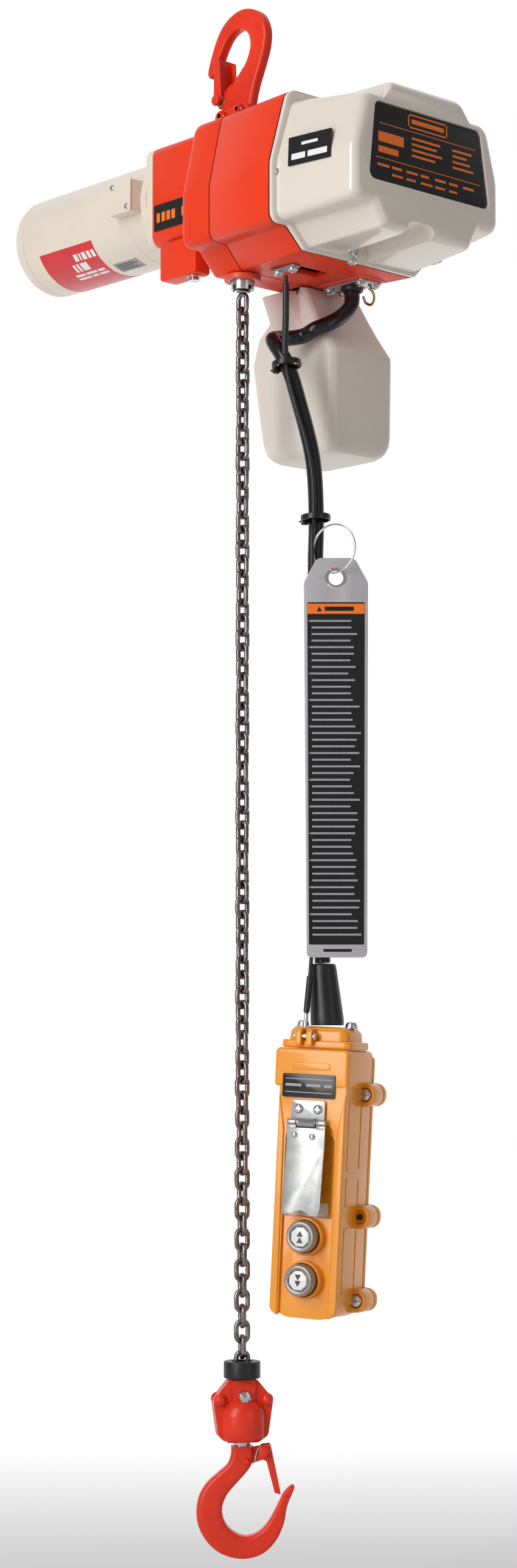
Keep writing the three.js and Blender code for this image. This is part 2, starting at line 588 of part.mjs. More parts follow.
// ---------- bottom block and hook ----------
const block = new THREE.Group();
block.rotation.z = YOKE_TURN;
hoist.add(block);

function yokeHalf(side) {
  const outline = rounded([[-11, -1094.5, 3], [-24, -1110, 4], [-20, -1138, 4], [-12, -1143.5, 4],
    [12, -1143.5, 4], [20, -1138, 4], [24, -1110, 4], [11, -1094.5, 3]], 2);
  const cheek = platePrism(outline, side > 0 ? GAP / 2 : -9, side > 0 ? 9 : -GAP / 2);
  const barrel = rod('z', 18.5, -1142, -1114, [0, 0, 0], 20);
  const otherHalf = box(-40, 40, side > 0 ? -40 : -GAP / 2, side > 0 ? GAP / 2 : 40, -1200, -1000);
  const rivets = [-19, 19].map((x) => turned('y', side > 0 ? [[8, 0], [8, 4.6], [10.5, 3.6], [12, 0]]
    : [[-12, 0], [-10.5, 3.6], [-8, 4.6], [-8, 0]], [x, 0, -1111], 12));
  const linkRoom = rod('z', 8.4, -1115.8, -1090, [0, 0, 0], 16);
  const stemRoom = rod('z', 7, -1150, -1129, [0, 0, 0], 20);
  const headRoom = rod('z', 14, -1133.5, -1114, [0, 0, 0], 20);
  const pinBore = rod('y', 2.8, -30, 30, [0, 0, PIN_Z], 12);
  return cut(join(cheek, barrel, ...rivets), otherHalf, linkRoom, stemRoom, headRoom, pinBore);
}

add('chain_cushion', ring('z', 8.6, 14.3, -1093.6, -1080.4, [0, 0, 0], 28), BLACK, block);
add('yoke_front', yokeHalf(-1), RED, block);
add('yoke_back', yokeHalf(1), RED, block);
add('chain_pin', boltWithNut(0, PIN_Z, 9.2, 2.4, 4.8, 4), STEEL, block);
add('thrust_bearing', ring('z', 7.3, 13, -1133, -1129.6, [0, 0, 0], 24), STEEL, block);

const hookGroup = new THREE.Group();
hookGroup.rotation.z = HOOK_TURN;
hoist.add(hookGroup);
const BOTTOM_LATCH_PIVOT = [17.5, -1150.5];
const LOAD_SADDLE_Z = -1216.2;     // the short flat that a load's eye or sling sits on

function bottomHook() {
  const outer = [[-8.6, -1156], [-13, -1162], [-23, -1169.5], [-31, -1179], [-35.5, -1190], [-35.5, -1202],
    [-32, -1213], [-24, -1224], [-13, -1231.3], [0, -1233.8], [13, -1231.5], [24, -1223.5], [31.5, -1212],
    [35, -1198], [41, -1182], [41.3, -1178], [38.4, -1177]];
  const inner = [[35, -1180], [30, -1187], [25, -1197], [20.5, -1206], [12, -1213], [2, -1215.8], [-6, -1213.5],
    [-12.6, -1207], [-15.6, -1198], [-14.6, -1190], [-10.5, -1182], [-2, -1173], [6.5, -1163], [8.6, -1157]];
  const bow = new THREE.CatmullRomCurve3([...outer, ...inner].map(([x, z]) => new THREE.Vector3(x, z, 0)), false);
  const outline = [...bow.getPoints(52).map((point) => [point.x, point.y]), [8.6, -1147.5], [-8.6, -1147.5]];
  const forging = platePrism(outline, -7.5, 7.5);
  const ear = platePrism(rounded([[4, -1147.8, 0], [22, -1145, 4], [22.2, -1151.6, 2], [18, -1156.3, 2],
    [6, -1160, 0]], 2), -3, 3);
  const stem = rod('z', 6.6, -1150, -1126, [0, 0, 0], 20);
  const head = rod('z', 12.8, -1129.2, -1117, [0, 0, 0], 20);
  const latchBore = rod('y', 2.5, -8, 8, [BOTTOM_LATCH_PIVOT[0], 0, BOTTOM_LATCH_PIVOT[1]], 12);
  const saddle = box(-3, 7, -10, 10, LOAD_SADDLE_Z, -1200);
  return cut(join(forging, ear, stem, head), latchBore, saddle);
}

function bottomLatch() {
  const outline = rounded([[13.5, -1145.5, 3], [22.5, -1144.5, 2], [30.5, -1183.5, 1], [25.5, -1182, 1],
    [19, -1157.5, 2], [13, -1155.5, 3]], 2);
  const inside = platePrism([[5, -1138], [20.8, -1138], [28.6, -1190], [5, -1190]], -4, 4);
  const pivot = rod('y', 2.5, -12, 12, [BOTTOM_LATCH_PIVOT[0], 0, BOTTOM_LATCH_PIVOT[1]], 12);
  return cut(platePrism(outline, -5.6, 5.6), inside, pivot);
}

add('bottom_hook', bottomHook(), RED, hookGroup);
add('bottom_latch', bottomLatch(), RED, hookGroup);
add('bottom_latch_bolt', boltWithNut(...BOTTOM_LATCH_PIVOT, 5.6, 2, 4.4, 3), RED, hookGroup);

// ---------- cable, strain wire and what hangs on them ----------
add('control_cable', tube(CABLE_ROUTE, CABLE_RADIUS, 42, 10), BLACK);
add('strain_wire', tube(STRAIN_WIRE_ROUTE, STRAIN_WIRE_RADIUS, 28, 8), BLACK);

// A band that holds cable and strain wire together, round the middle between them.
function cableTie(x, y, z, tilt) {
  const band = ring('z', 10.6, 12.2, -2.4, 2.4, [0, 0, 0], 16);
  const lock = box(-14.5, -11.3, -2.5, 2.5, -3.2, 3.2);
  return join(band, lock).rotateY(tilt).translate(x, y, z);
}

add('cable_tie_upper', cableTie(41.8, 10.1, -285, -0.15), BLACK);
add('cable_tie_lower', cableTie(60.7, 24.2, -411, -0.05), BLACK);

const TAG = { x: 86, y: 22.1, pivot: -458.4, lean: THREE.MathUtils.degToRad(4.5), thick: 1 };
const tagGroup = new THREE.Group();
tagGroup.position.set(TAG.x, TAG.y, TAG.pivot);
tagGroup.rotation.set(-TAG.lean, 0, HOOK_TURN, 'ZYX');
hoist.add(tagGroup);

function tagSheet() {
  const outline = rounded([[-24, -306, 3], [23, -306, 3], [25.5, -8, 5], [15, 12, 4], [-15, 12, 4], [-25.5, -8, 5]]);
  return cut(platePrism(outline, -TAG.thick / 2, TAG.thick / 2), rod('y', 6.5, -3, 3, [0, 0, -4.5], 16));
}

add('tag', tagSheet(), BLACK, tagGroup);

// The split ring goes round the strain wire and through the tag's eyelet.
const tagRing = add('tag_ring', new THREE.TorusGeometry(19.5, 1.2, 6, 24), STEEL);
tagRing.rotation.set(Math.PI / 2, 0, HOOK_TURN - THREE.MathUtils.degToRad(32.8), 'ZYX');
tagRing.position.set(84.3, 21.7, -439);

// ---------- pendant ----------
const pendant = new THREE.Group();
pendant.position.set(PENDANT.x, PENDANT.y, PENDANT.z);
const viewAxis = new THREE.Vector3(-Math.sin(HOOK_TURN), Math.cos(HOOK_TURN), 0);
pendant.quaternion.setFromAxisAngle(viewAxis, THREE.MathUtils.degToRad(PENDANT.roll)).multiply(
  new THREE.Quaternion().setFromAxisAngle(new THREE.Vector3(0, 0, 1), THREE.MathUtils.degToRad(PENDANT.yaw)));
hoist.add(pendant);

const FRONT = -25;               // front face of the case, local y
const BUTTONS = [['up_button', -147.5], ['down_button', -180.5]];
const DIALS = [['speed_dial_high', -90], ['speed_dial_low', -116]];
const BUTTON_RADIUS = 12.4;
const HINGE = { y: FRONT - 2.6, z: -61 };

function pendantCase() {
  const head = prism('z', rectangle(-32, 30, FRONT, 24, 6), -34, -4.3);
  const body = prism('z', rectangle(-27, 29, FRONT, 24, 6), -210, -33);
  const lugs = [-38, -132, -196].flatMap((z) => [-30, 32].map((x) =>
    rod('y', 6.5, 10, 24, [x, 0, z], 10)));
  const room = prism('z', rectangle(-21, 23, FRONT + 6, 30, 3), -204, -14);
  const dialRoom = box(-15, 17, FRONT - 5, FRONT + 7.5, -130, -72);
  const wells = BUTTONS.map(([, z]) => rod('y', 8, FRONT - 5, FRONT + 9, [1, 0, z], 20));
  const cableRoom = rod('z', 9, -16, 2, [0, 0, 0], 20);
  return cut(join(head, body, ...lugs), room, dialRoom, ...wells, cableRoom);
}

function pendantBack() {
  const cover = prism('z', rectangle(-27, 29, 24.3, 33, 3.5), -209, -8);
  const lugs = [-38, -132, -196].flatMap((z) => [-30, 32].map((x) =>
    rod('y', 6.5, 24.3, 30, [x, 0, z], 10)));
  const hollow = box(-21, 23, 20, 29, -203, -14);
  return cut(join(cover, ...lugs), hollow);
}

function pendantCap() {
  const foot = prism('z', rectangle(-30, 29, -21, 20, 5), -4, 2);
  const tower = prism('z', rectangle(-26, 25, -18, 18, 6), 1, 13);
  const clevis = [-15.5, -6.5].map((x) => box(x, x + 5, -26, -17, -2, 11));
  const clevisPin = rod('x', 1.8, -14, -4, [0, -22.5, 5], 10);
  const screws = [-20, 20].map((x) => rod('z', 4, 12, 16, [x, 0, 0], 12));
  const bore = rod('z', CABLE_RADIUS + 3.3, -10, 20, [0, 0, 0], 20);
  return cut(join(foot, tower, ...clevis, clevisPin, ...screws), bore);
}

// The boot bends from the pendant's own axis to the cable's; points are in the row's frame.
function cableBoot() {
  const levels = [[89.3, 8.6, -815.9, 12.6], [89.2, 8.5, -814, 13], [88.8, 8.4, -808, 12.6],
    [85.7, 7.6, -774, 10.6], [85.4, 7.5, -769, 9.8], [85.4, 7.5, -768, 8.8]];
  return loft(levels.map(([x, y, z, radius]) => Array.from({ length: 20 }, (_, side) => {
    const angle = (side * Math.PI) / 10;
    return [x + radius * Math.cos(angle), y + radius * Math.sin(angle), z];
  })));
}

function pushButton(z) {
  const face = FRONT - BUTTON_TRAVEL_GAP;
  const cap = turned('y', [[face - 7, 0], [face - 7, 10], [face - 6, BUTTON_RADIUS - 0.6], [face - 4, BUTTON_RADIUS],
    [face, BUTTON_RADIUS], [face, 7.6], [FRONT + 2, 7.6], [FRONT + 2, 0]], [1, 0, z], 20);
  return cap;
}

function speedDial(z) {
  const top = FRONT + 0.5;
  const knob = rod('y', 7, top, FRONT + 7.2, [1, 0, z], 16);
  return cut(knob, box(0.2, 1.8, top - 2, top + 1.5, z - 8, z + 8));
}

function hingeLeaf() {
  const leaf = box(-15, 13, FRONT - 1.9, FRONT - GAP, -58.5, -44);
  const barrel = rod('x', 2.6, -9, 7, [0, HINGE.y - 0.6, HINGE.z], 12);
  const knuckleWeb = box(-9, 7, FRONT - 1.9, FRONT - GAP, -60, -57);
  const screws = [-9, 7].map((x) => rod('y', 3.2, FRONT - 4, FRONT - 1, [x, 0, -50], 12));
  return join(leaf, barrel, knuckleWeb, ...screws);
}

function guardPlate() {
  const knuckles = [[-17, -9.4], [7.4, 15]].map(([x0, x1]) => rod('x', 2.6, x0, x1, [0, HINGE.y - 0.6, HINGE.z], 12));
  const arms = [[-17, -9.4], [7.4, 15]].map(([x0, x1]) => box(x0, x1, HINGE.y - 1.8, HINGE.y - 0.2, -67, -61));
  const panel = prism('x', [[HINGE.y - 1.8, -80], [HINGE.y - 6, -131], [HINGE.y - 4.4, -131], [HINGE.y - 0.2, -80],
    [HINGE.y - 0.2, -65], [HINGE.y - 1.8, -65]], -17, 15);
  const notch = rod('y', 9, -60, 0, [-1, 0, -137], 20);
  return cut(join(panel, ...knuckles, ...arms), notch);
}

add('pendant_case', pendantCase(), YELLOW, pendant);
add('pendant_back', pendantBack(), YELLOW, pendant);
add('pendant_cap', pendantCap(), YELLOW, pendant);
add('cable_boot', cableBoot(), BLACK);
BUTTONS.forEach(([name, z]) => add(name, pushButton(z), STEEL, pendant));
DIALS.forEach(([name, z]) => add(name, speedDial(z), BLACK, pendant));
add('hinge_leaf', hingeLeaf(), GALVANISED, pendant);
add('guard', guardPlate(), GALVANISED, pendant);

export default hoist;
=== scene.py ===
# Looks of the electric chain hoist, in metres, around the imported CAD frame.
import math
import random

import bmesh
import bpy
from mathutils import Matrix, Vector


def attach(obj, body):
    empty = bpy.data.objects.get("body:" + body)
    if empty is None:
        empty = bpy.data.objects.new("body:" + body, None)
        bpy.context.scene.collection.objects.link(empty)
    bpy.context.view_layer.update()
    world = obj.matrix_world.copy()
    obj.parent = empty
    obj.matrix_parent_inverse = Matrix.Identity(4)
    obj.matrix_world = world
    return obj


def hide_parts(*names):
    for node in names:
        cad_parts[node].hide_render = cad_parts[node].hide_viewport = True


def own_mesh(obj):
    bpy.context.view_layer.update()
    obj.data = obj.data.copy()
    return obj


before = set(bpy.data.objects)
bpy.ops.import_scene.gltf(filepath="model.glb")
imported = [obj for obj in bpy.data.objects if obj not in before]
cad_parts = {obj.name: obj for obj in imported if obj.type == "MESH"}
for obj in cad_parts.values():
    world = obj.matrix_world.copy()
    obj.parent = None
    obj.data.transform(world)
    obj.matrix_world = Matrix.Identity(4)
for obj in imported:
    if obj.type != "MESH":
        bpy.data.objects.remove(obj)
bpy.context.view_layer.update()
MM = 0.001
random.seed(7)

# ---------- camera ----------
CAMERA_PLACE = (1.70896, -1.54831, -0.81599)
CAMERA_PITCH = 94.8
CAMERA_TURN = 47.5
CAMERA_LENS_MM, SENSOR_HEIGHT_MM = 66.03, 36
AWAY = Vector((-0.7373, 0.6756, 0))     # level, from the camera past the object
RIGHT = Vector((0.6756, 0.7373, 0))     # level, to the right as the camera sees it
camera_data = bpy.data.cameras.new("camera")
camera_data.sensor_fit = "VERTICAL"
camera_data.sensor_height = SENSOR_HEIGHT_MM
camera_data.lens = CAMERA_LENS_MM
camera = bpy.data.objects.new("camera", camera_data)
camera.location = CAMERA_PLACE
camera.rotation_euler = (math.radians(CAMERA_PITCH), 0, math.radians(CAMERA_TURN))
bpy.context.scene.collection.objects.link(camera)
bpy.context.scene.camera = camera


# ---------- materials ----------
def tint(color, factor):
    return tuple(min(1.0, c * factor) for c in color) + (1.0,)


def map_range(tree, value, source, target, kind="LINEAR"):
    """Map a value from the source pair of limits to the target pair."""
    node = tree.nodes.new("ShaderNodeMapRange")
    node.interpolation_type = kind
    for name, setting in zip(("From Min", "From Max", "To Min", "To Max"), source + target):
        node.inputs[name].default_value = setting
    tree.links.new(value, node.inputs["Value"])
    return node.outputs["Result"]


def along_away(tree, output):
    """How far a place or a direction reaches along AWAY."""
    place = tree.nodes.new("ShaderNodeTexCoord")
    dot = tree.nodes.new("ShaderNodeVectorMath")
    dot.operation = "DOT_PRODUCT"
    dot.inputs[1].default_value = AWAY
    tree.links.new(place.outputs[output], dot.inputs[0])
    return dot.outputs["Value"]


COAT_ROUGHNESS = 0.06
RELIEF_DEPTH = 0.0004
SOIL_LIMITS = (0.5, 0.72)


def finish(name, color, rough, metal=0.0, coat=0.0, spread=0.06, scale=60.0, grain=900.0,
           bump=0.03, rough_spread=0.06, stretch=(1, 1, 1), dirt=0.0, spec=0.5):
    """A surface with slow colour drift, patchy gloss and a fine grain; stretch makes the grain directional."""
    material = bpy.data.materials.new(name)
    material.use_nodes = True
    tree = material.node_tree
    nodes, links = tree.nodes, tree.links
    shader = nodes["Principled BSDF"]
    shader.inputs["Metallic"].default_value = metal
    shader.inputs["Coat Weight"].default_value = coat
    shader.inputs["Coat Roughness"].default_value = COAT_ROUGHNESS
    shader.inputs["Specular IOR Level"].default_value = spec
    place = nodes.new("ShaderNodeTexCoord")
    mapping = nodes.new("ShaderNodeMapping")
    mapping.inputs["Scale"].default_value = stretch
    links.new(place.outputs["Object"], mapping.inputs["Vector"])

    def noise(size, detail):
        node = nodes.new("ShaderNodeTexNoise")
        node.inputs["Scale"].default_value = size
        node.inputs["Detail"].default_value = detail
        links.new(mapping.outputs["Vector"], node.inputs["Vector"])
        return node

    drift = noise(scale, 4)
    ramp = nodes.new("ShaderNodeValToRGB")
    for element, position, factor in zip(ramp.color_ramp.elements, (0.3, 0.7), (1 - spread, 1 + spread)):
        element.position = position
        element.color = tint(color, factor)
    links.new(drift.outputs["Fac"], ramp.inputs["Fac"])
    colour = ramp.outputs["Color"]
    if dirt:
        soil = noise(scale * 2.3, 8)
        mix = nodes.new("ShaderNodeMix")
        mix.data_type = "RGBA"
        mix.inputs["B"].default_value = tint(color, 0.35)
        links.new(map_range(tree, soil.outputs["Fac"], SOIL_LIMITS, (0, dirt)), mix.inputs["Factor"])
        links.new(colour, mix.inputs["A"])
        colour = mix.outputs["Result"]
    links.new(colour, shader.inputs["Base Color"])
    gloss = map_range(tree, noise(scale * 1.7, 3).outputs["Fac"], (0, 1),
                      (max(0.02, rough - rough_spread), rough + rough_spread))
    links.new(gloss, shader.inputs["Roughness"])
    relief = nodes.new("ShaderNodeBump")
    relief.inputs["Strength"].default_value = bump
    relief.inputs["Distance"].default_value = RELIEF_DEPTH
    links.new(noise(grain, 3).outputs["Fac"], relief.inputs["Height"])
    links.new(relief.outputs["Normal"], shader.inputs["Normal"])
    return material


ORANGE = finish("orange_enamel", (0.78, 0.040, 0.006), 0.40, spread=0.05, scale=14, grain=420, bump=0.10,
                spec=0.3)
ORANGE_CAST = finish("orange_underside", (0.66, 0.065, 0.025), 0.42, coat=0.1, spread=0.12, scale=30,
                     grain=260, bump=0.3, stretch=(0.25, 1, 1))
RED = finish("red_forging", (0.74, 0.032, 0.008), 0.34, coat=0.1, spread=0.10, scale=40, grain=500, bump=0.22,
             spec=0.35)
CREAM = finish("cream_cover", (0.74, 0.665, 0.585), 0.2, coat=0.5, spread=0.025, scale=10, grain=500, bump=0.04)
CREAM_MOTOR = finish("cream_motor", (0.75, 0.665, 0.56), 0.36, coat=0.25, spread=0.035, scale=16, grain=420,
                     bump=0.12)
CREAM_BUCKET = finish("cream_bucket", (0.70, 0.64, 0.57), 0.40, coat=0.1, spread=0.03, scale=18, grain=1500,
                      bump=0.10)
YELLOW = finish("yellow_pendant", (0.86, 0.31, 0.012), 0.3, coat=0.2, spread=0.035, scale=22, grain=1300,
                bump=0.06)
RUBBER = finish("black_rubber", (0.008, 0.008, 0.010), 0.38, spread=0.25, scale=50, grain=1600, bump=0.18)
CABLE = finish("cable_jacket", (0.005, 0.005, 0.007), 0.24, spread=0.2, scale=30, grain=900, bump=0.07,
               stretch=(1, 1, 0.2))
NYLON = finish("black_nylon", (0.006, 0.006, 0.006), 0.32, spread=0.2, scale=60, grain=1400, bump=0.1)
PRINT_BLACK = finish("black_print", (0.007, 0.006, 0.006), 0.28, coat=0.1, spread=0.15, scale=25, grain=800,
                     bump=0.03)
PRINT_GREY = finish("grey_print", (0.30, 0.30, 0.32), 0.38, spread=0.05, scale=80, bump=0.02)
PRINT_ORANGE = finish("orange_print", (0.86, 0.17, 0.015), 0.35, spread=0.04, scale=60, bump=0.02)
PRINT_WHITE = finish("white_print", (0.80, 0.80, 0.80), 0.35, spread=0.02, scale=60, bump=0.02)
PRINT_RED = finish("red_print", (0.64, 0.011, 0.018), 0.33, coat=0.2, spread=0.05, scale=40, bump=0.03)
TAG_EDGE = finish("tag_laminate", (0.42, 0.40, 0.42), 0.22, coat=0.5, spread=0.05, scale=14, bump=0.03)
TAG_FACE = finish("tag_face", (0.009, 0.008, 0.009), 0.24, coat=0.2, spread=0.3, scale=9, bump=0.03)
STEEL = finish("turned_steel", (0.62, 0.62, 0.64), 0.26, metal=1.0, spread=0.08, scale=90, grain=1500, bump=0.08,
               stretch=(1, 1, 0.15))
ZINC = finish("zinc_plate", (0.44, 0.45, 0.44), 0.42, metal=1.0, spread=0.14, scale=110, grain=700, bump=0.12)
CHROME = finish("bright_nickel", (0.78, 0.77, 0.75), 0.13, metal=1.0, spread=0.05, scale=60, bump=0.03)
BRASS = finish("brass", (0.62, 0.42, 0.16), 0.28, metal=1.0, spread=0.12, scale=90, bump=0.08)
CHAIN = finish("chain_steel", (0.27, 0.235, 0.225), 0.27, metal=1.0, spread=0.35, scale=160, grain=1100,
               bump=0.16, rough_spread=0.12, dirt=0.6)
GEAR = finish("gear_steel", (0.42, 0.42, 0.43), 0.32, metal=1.0, spread=0.12, scale=120, bump=0.1)
BOARD = finish("circuit_board", (0.02, 0.14, 0.05), 0.35, spread=0.2, scale=70, bump=0.05)
BUTTON_WHITE = finish("button_white", (0.80, 0.80, 0.79), 0.30, coat=0.3, spread=0.03, scale=60, bump=0.04)
BUTTON_RING = finish("button_clear_ring", (0.24, 0.22, 0.20), 0.16, coat=0.8, spread=0.08, scale=40, bump=0.03)
LABEL_CREAM = finish("label_cream", (0.80, 0.76, 0.66), 0.35, spread=0.03, scale=60, bump=0.02)


# ---------- shapes: (vertices in mm, faces) ----------
def rounded(points, steps=6):
    """Corners (u, v, radius) turned into a polygon with an arc at each corner that has a radius."""
    outline = []
    for i, point in enumerate(points):
        radius = point[2] if len(point) > 2 else 0
        corner = Vector(point[:2])
        if not radius:
            outline.append(tuple(corner))
            continue
        before = (Vector(points[i - 1][:2]) - corner).normalized()
        after = (Vector(points[(i + 1) % len(points)][:2]) - corner).normalized()
        half = before.angle(after) / 2
        centre = corner + (before + after).normalized() * (radius / math.sin(half))
        start = corner + before * (radius / math.tan(half)) - centre
        end = corner + after * (radius / math.tan(half)) - centre
        sweep = math.atan2(start.x * end.y - start.y * end.x, start.dot(end))
        for k in range(steps + 1):
            a = sweep * k / steps
            outline.append((centre.x + start.x * math.cos(a) - start.y * math.sin(a),
                            centre.y + start.x * math.sin(a) + start.y * math.cos(a)))
    return outline


def rectangle(u0, u1, v0, v1, radius=0, steps=6):
    return rounded([(u0, v0, radius), (u1, v0, radius), (u1, v1, radius), (u0, v1, radius)], steps)


def circle(radius, count=40, cu=0.0, cv=0.0, phase=0.0):
    return [(cu + radius * math.cos(phase + 2 * math.pi * k / count),
             cv + radius * math.sin(phase + 2 * math.pi * k / count)) for k in range(count)]


def on_axis(axis, u, v, along):
    """A point from an outline's two coordinates and its place along the axis. For y the outline is (x, z)."""
    return {"x": (along, u, v), "y": (u, along, v), "z": (u, v, along)}[axis]


def loft(rings, closed=False):
    count = len(rings[0])
    vertices = [point for ring in rings for point in ring]
    faces = []
    levels = len(rings) if closed else len(rings) - 1
    for level in range(levels):
        a = level * count
        b = ((level + 1) % len(rings)) * count
        faces += [(a + k, a + (k + 1) % count, b + (k + 1) % count, b + k) for k in range(count)]
    if not closed:
        faces.append(tuple(range(count)))
        faces.append(tuple(range(len(vertices) - 1, len(vertices) - 1 - count, -1)))
    return vertices, faces


def prism(axis, outline, a, b):
    return loft([[on_axis(axis, u, v, d) for u, v in outline] for d in (a, b)])


def box(x0, x1, y0, y1, z0, z1):
    return prism("z", [(x0, y0), (x1, y0), (x1, y1), (x0, y1)], z0, z1)


def turned(axis, profile, centre=(0, 0, 0), count=48, closed=False):
    """Profile of (along, radius) turned about an axis; closed makes a hollow ring."""
    rings = []
    for along, radius in profile:
        ring = [on_axis(axis, u, v, along) for u, v in circle(max(radius, 0.01), count)]
        rings.append([tuple(p + c for p, c in zip(point, centre)) for point in ring])
    return loft(rings, closed)


def rod(axis, radius, a, b, centre=(0, 0, 0), count=32):
    return turned(axis, [(a, radius), (b, radius)], centre, count)


def ring(axis, inner, outer, a, b, centre=(0, 0, 0), count=48):
    return turned(axis, [(a, inner), (a, outer), (b, outer), (b, inner)], centre, count, closed=True)


def spline(points, count):
    """A Catmull-Rom line of any dimension through the points."""
    rows = [tuple(map(float, p)) for p in points]
    rows = [rows[0]] + rows + [rows[-1]]
    spans = len(rows) - 3
    out = []
    for k in range(count + 1):
        t = k / count * spans
        i = min(int(t), spans - 1)
        t -= i
        p0, p1, p2, p3 = rows[i:i + 4]
        out.append(tuple(
            0.5 * (2 * b + (c - a) * t + (2 * a - 5 * b + 4 * c - d) * t * t + (3 * b - a - 3 * c + d) * t ** 3)
            for a, b, c, d in zip(p0, p1, p2, p3)))
    return out


def tube(points, radius, count=14, closed=False):
    """A round tube along points; radius is a number or one value for each point."""
    line = [Vector(p) for p in points]
    radii = radius if isinstance(radius, (list, tuple)) else [radius] * len(line)
    tangents = []
    for i in range(len(line)):
        before = line[i - 1] if i or closed else line[0]
        after = line[(i + 1) % len(line)] if closed or i < len(line) - 1 else line[-1]
        tangents.append((after - before).normalized())
    normal = tangents[0].orthogonal().normalized()
    rings = []
    for point, tangent, size in zip(line, tangents, radii):
        normal = (normal - tangent * normal.dot(tangent)).normalized()
        side = tangent.cross(normal)
        rings.append([tuple(point + (normal * math.cos(a) + side * math.sin(a)) * size)
                      for a in (2 * math.pi * k / count for k in range(count))])
    return loft(rings, closed)


def swept_hook(stations, thickness, power, count=90, sides=24):
    """A forged hook in the XZ plane: stations are ((outer x, z), (inner x, z)); the section is a soft rectangle."""
    rows = [(o[0], o[1], i[0], i[1], t) for (o, i), t in zip(stations, thickness)]
    rings = []
    for ox, oz, ix, iz, t in spline(rows, count):
        cx, cz, wx, wz = (ox + ix) / 2, (oz + iz) / 2, (ox - ix) / 2, (oz - iz) / 2
        section = []
        for k in range(sides):
            a = 2 * math.pi * k / sides
            u = math.copysign(abs(math.cos(a)) ** (2 / power), math.cos(a))
            v = math.copysign(abs(math.sin(a)) ** (2 / power), math.sin(a))
            section.append((cx + wx * u, t * v, cz + wz * u))
        rings.append(section)
    return loft(rings)


def merge(*shapes):
    vertices, faces = [], []
    for v, f in shapes:
        base = len(vertices)
        vertices += v
        faces += [tuple(i + base for i in face) for face in f]
    return vertices, faces


def moved(shape, matrix):
    return [tuple(matrix @ Vector(v)) for v in shape[0]], shape[1]


def at(x, y, z):
    return Matrix.Translation((x, y, z))


# ---------- pieces ----------
IDENTITY = Matrix.Identity(4)
SHARP_ANGLE = math.radians(38)


def build_mesh(name, shape):
    mesh = bpy.data.meshes.new(name)
    bm = bmesh.new()
    points = [bm.verts.new(Vector(v) * MM) for v in shape[0]]
    for face in shape[1]:
        try:
            bm.faces.new([points[i] for i in face])
        except ValueError:
            pass
    bmesh.ops.recalc_face_normals(bm, faces=bm.faces)
    bm.to_mesh(mesh)
    bm.free()
    return mesh


def piece(name, shape, material, slot, body="hoist", bevel=0.0, segments=3, cuts=(), replaces=(), place=IDENTITY,
          smooth=True, angle=32):
    """One visible piece: cuts are shapes taken away, bevel is the edge radius in mm."""
    mesh = build_mesh(name, moved(shape, place))
    obj = bpy.data.objects.new(name, mesh)
    bpy.context.scene.collection.objects.link(obj)
    mesh.materials.append(material)
    helpers = []
    for k, tool in enumerate(cuts):
        helper = bpy.data.objects.new(f"{name}_cut{k}", build_mesh(f"{name}_cut{k}", moved(tool, place)))
        bpy.context.scene.collection.objects.link(helper)
        helpers.append(helper)
        modifier = obj.modifiers.new("cut", "BOOLEAN")
        modifier.object = helper
        modifier.solver = "EXACT"
    if bevel:
        modifier = obj.modifiers.new("edges", "BEVEL")
        modifier.width = bevel * MM
        modifier.segments = segments
        modifier.limit_method = "ANGLE"
        modifier.angle_limit = math.radians(angle)
    if obj.modifiers:
        depsgraph = bpy.context.evaluated_depsgraph_get()
        final = bpy.data.meshes.new_from_object(obj.evaluated_get(depsgraph))
        obj.modifiers.clear()
        obj.data = final
        mesh = final
    for helper in helpers:
        bpy.data.objects.remove(helper)
    if smooth:
        mesh.shade_smooth()
        mesh.set_sharp_from_angle(angle=SHARP_ANGLE)
    if not mesh.materials:
        mesh.materials.append(material)
    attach(obj, body)
    if replaces:
        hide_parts(*replaces)
    return obj


# ---------- top suspension ----------
HOOK_STATIONS = [
    ((14, -84), (-15.5, -84)), ((14, -68), (-15.5, -68)), ((15.5, -60), (-14.5, -54)), ((18.5, -51), (-9.5, -44.5)),
    ((22.5, -42), (-0.5, -37.5)), ((27.5, -31), (8, -29.5)), ((31.5, -19), (12.8, -19)),
    ((31.8, -6.5), (12.3, -10.5)), ((26, 5.8), (9, -5)), ((16, 13), (4.5, -1.6)), ((3, 16), (-0.5, 0)),
    ((-10, 13.5), (-7, -1)), ((-20.5, 7), (-13.5, -4.2)), ((-28, -2.5), (-19.5, -10.8)),
    ((-33.8, -14), (-24, -17.8)), ((-37.5, -24), (-28, -24.5)), ((-38.3, -29.5), (-30.5, -29)),
    ((-36, -32.8), (-33, -32.5)),
]
hook_bow = swept_hook(HOOK_STATIONS, [4.9] * len(HOOK_STATIONS), 5.5)
hook_ear = prism("y", [(-8, -44), (-19, -50.5), (-25, -53), (-26.5, -57.5), (-23.5, -61.8), (-13, -63.5), (-8, -58)],
                 -4.9, 4.9)
piece("hook_top_forging", merge(hook_bow, hook_ear), RED, "red_forging", bevel=0.5, segments=2, angle=50,
      replaces=["top_hook"])

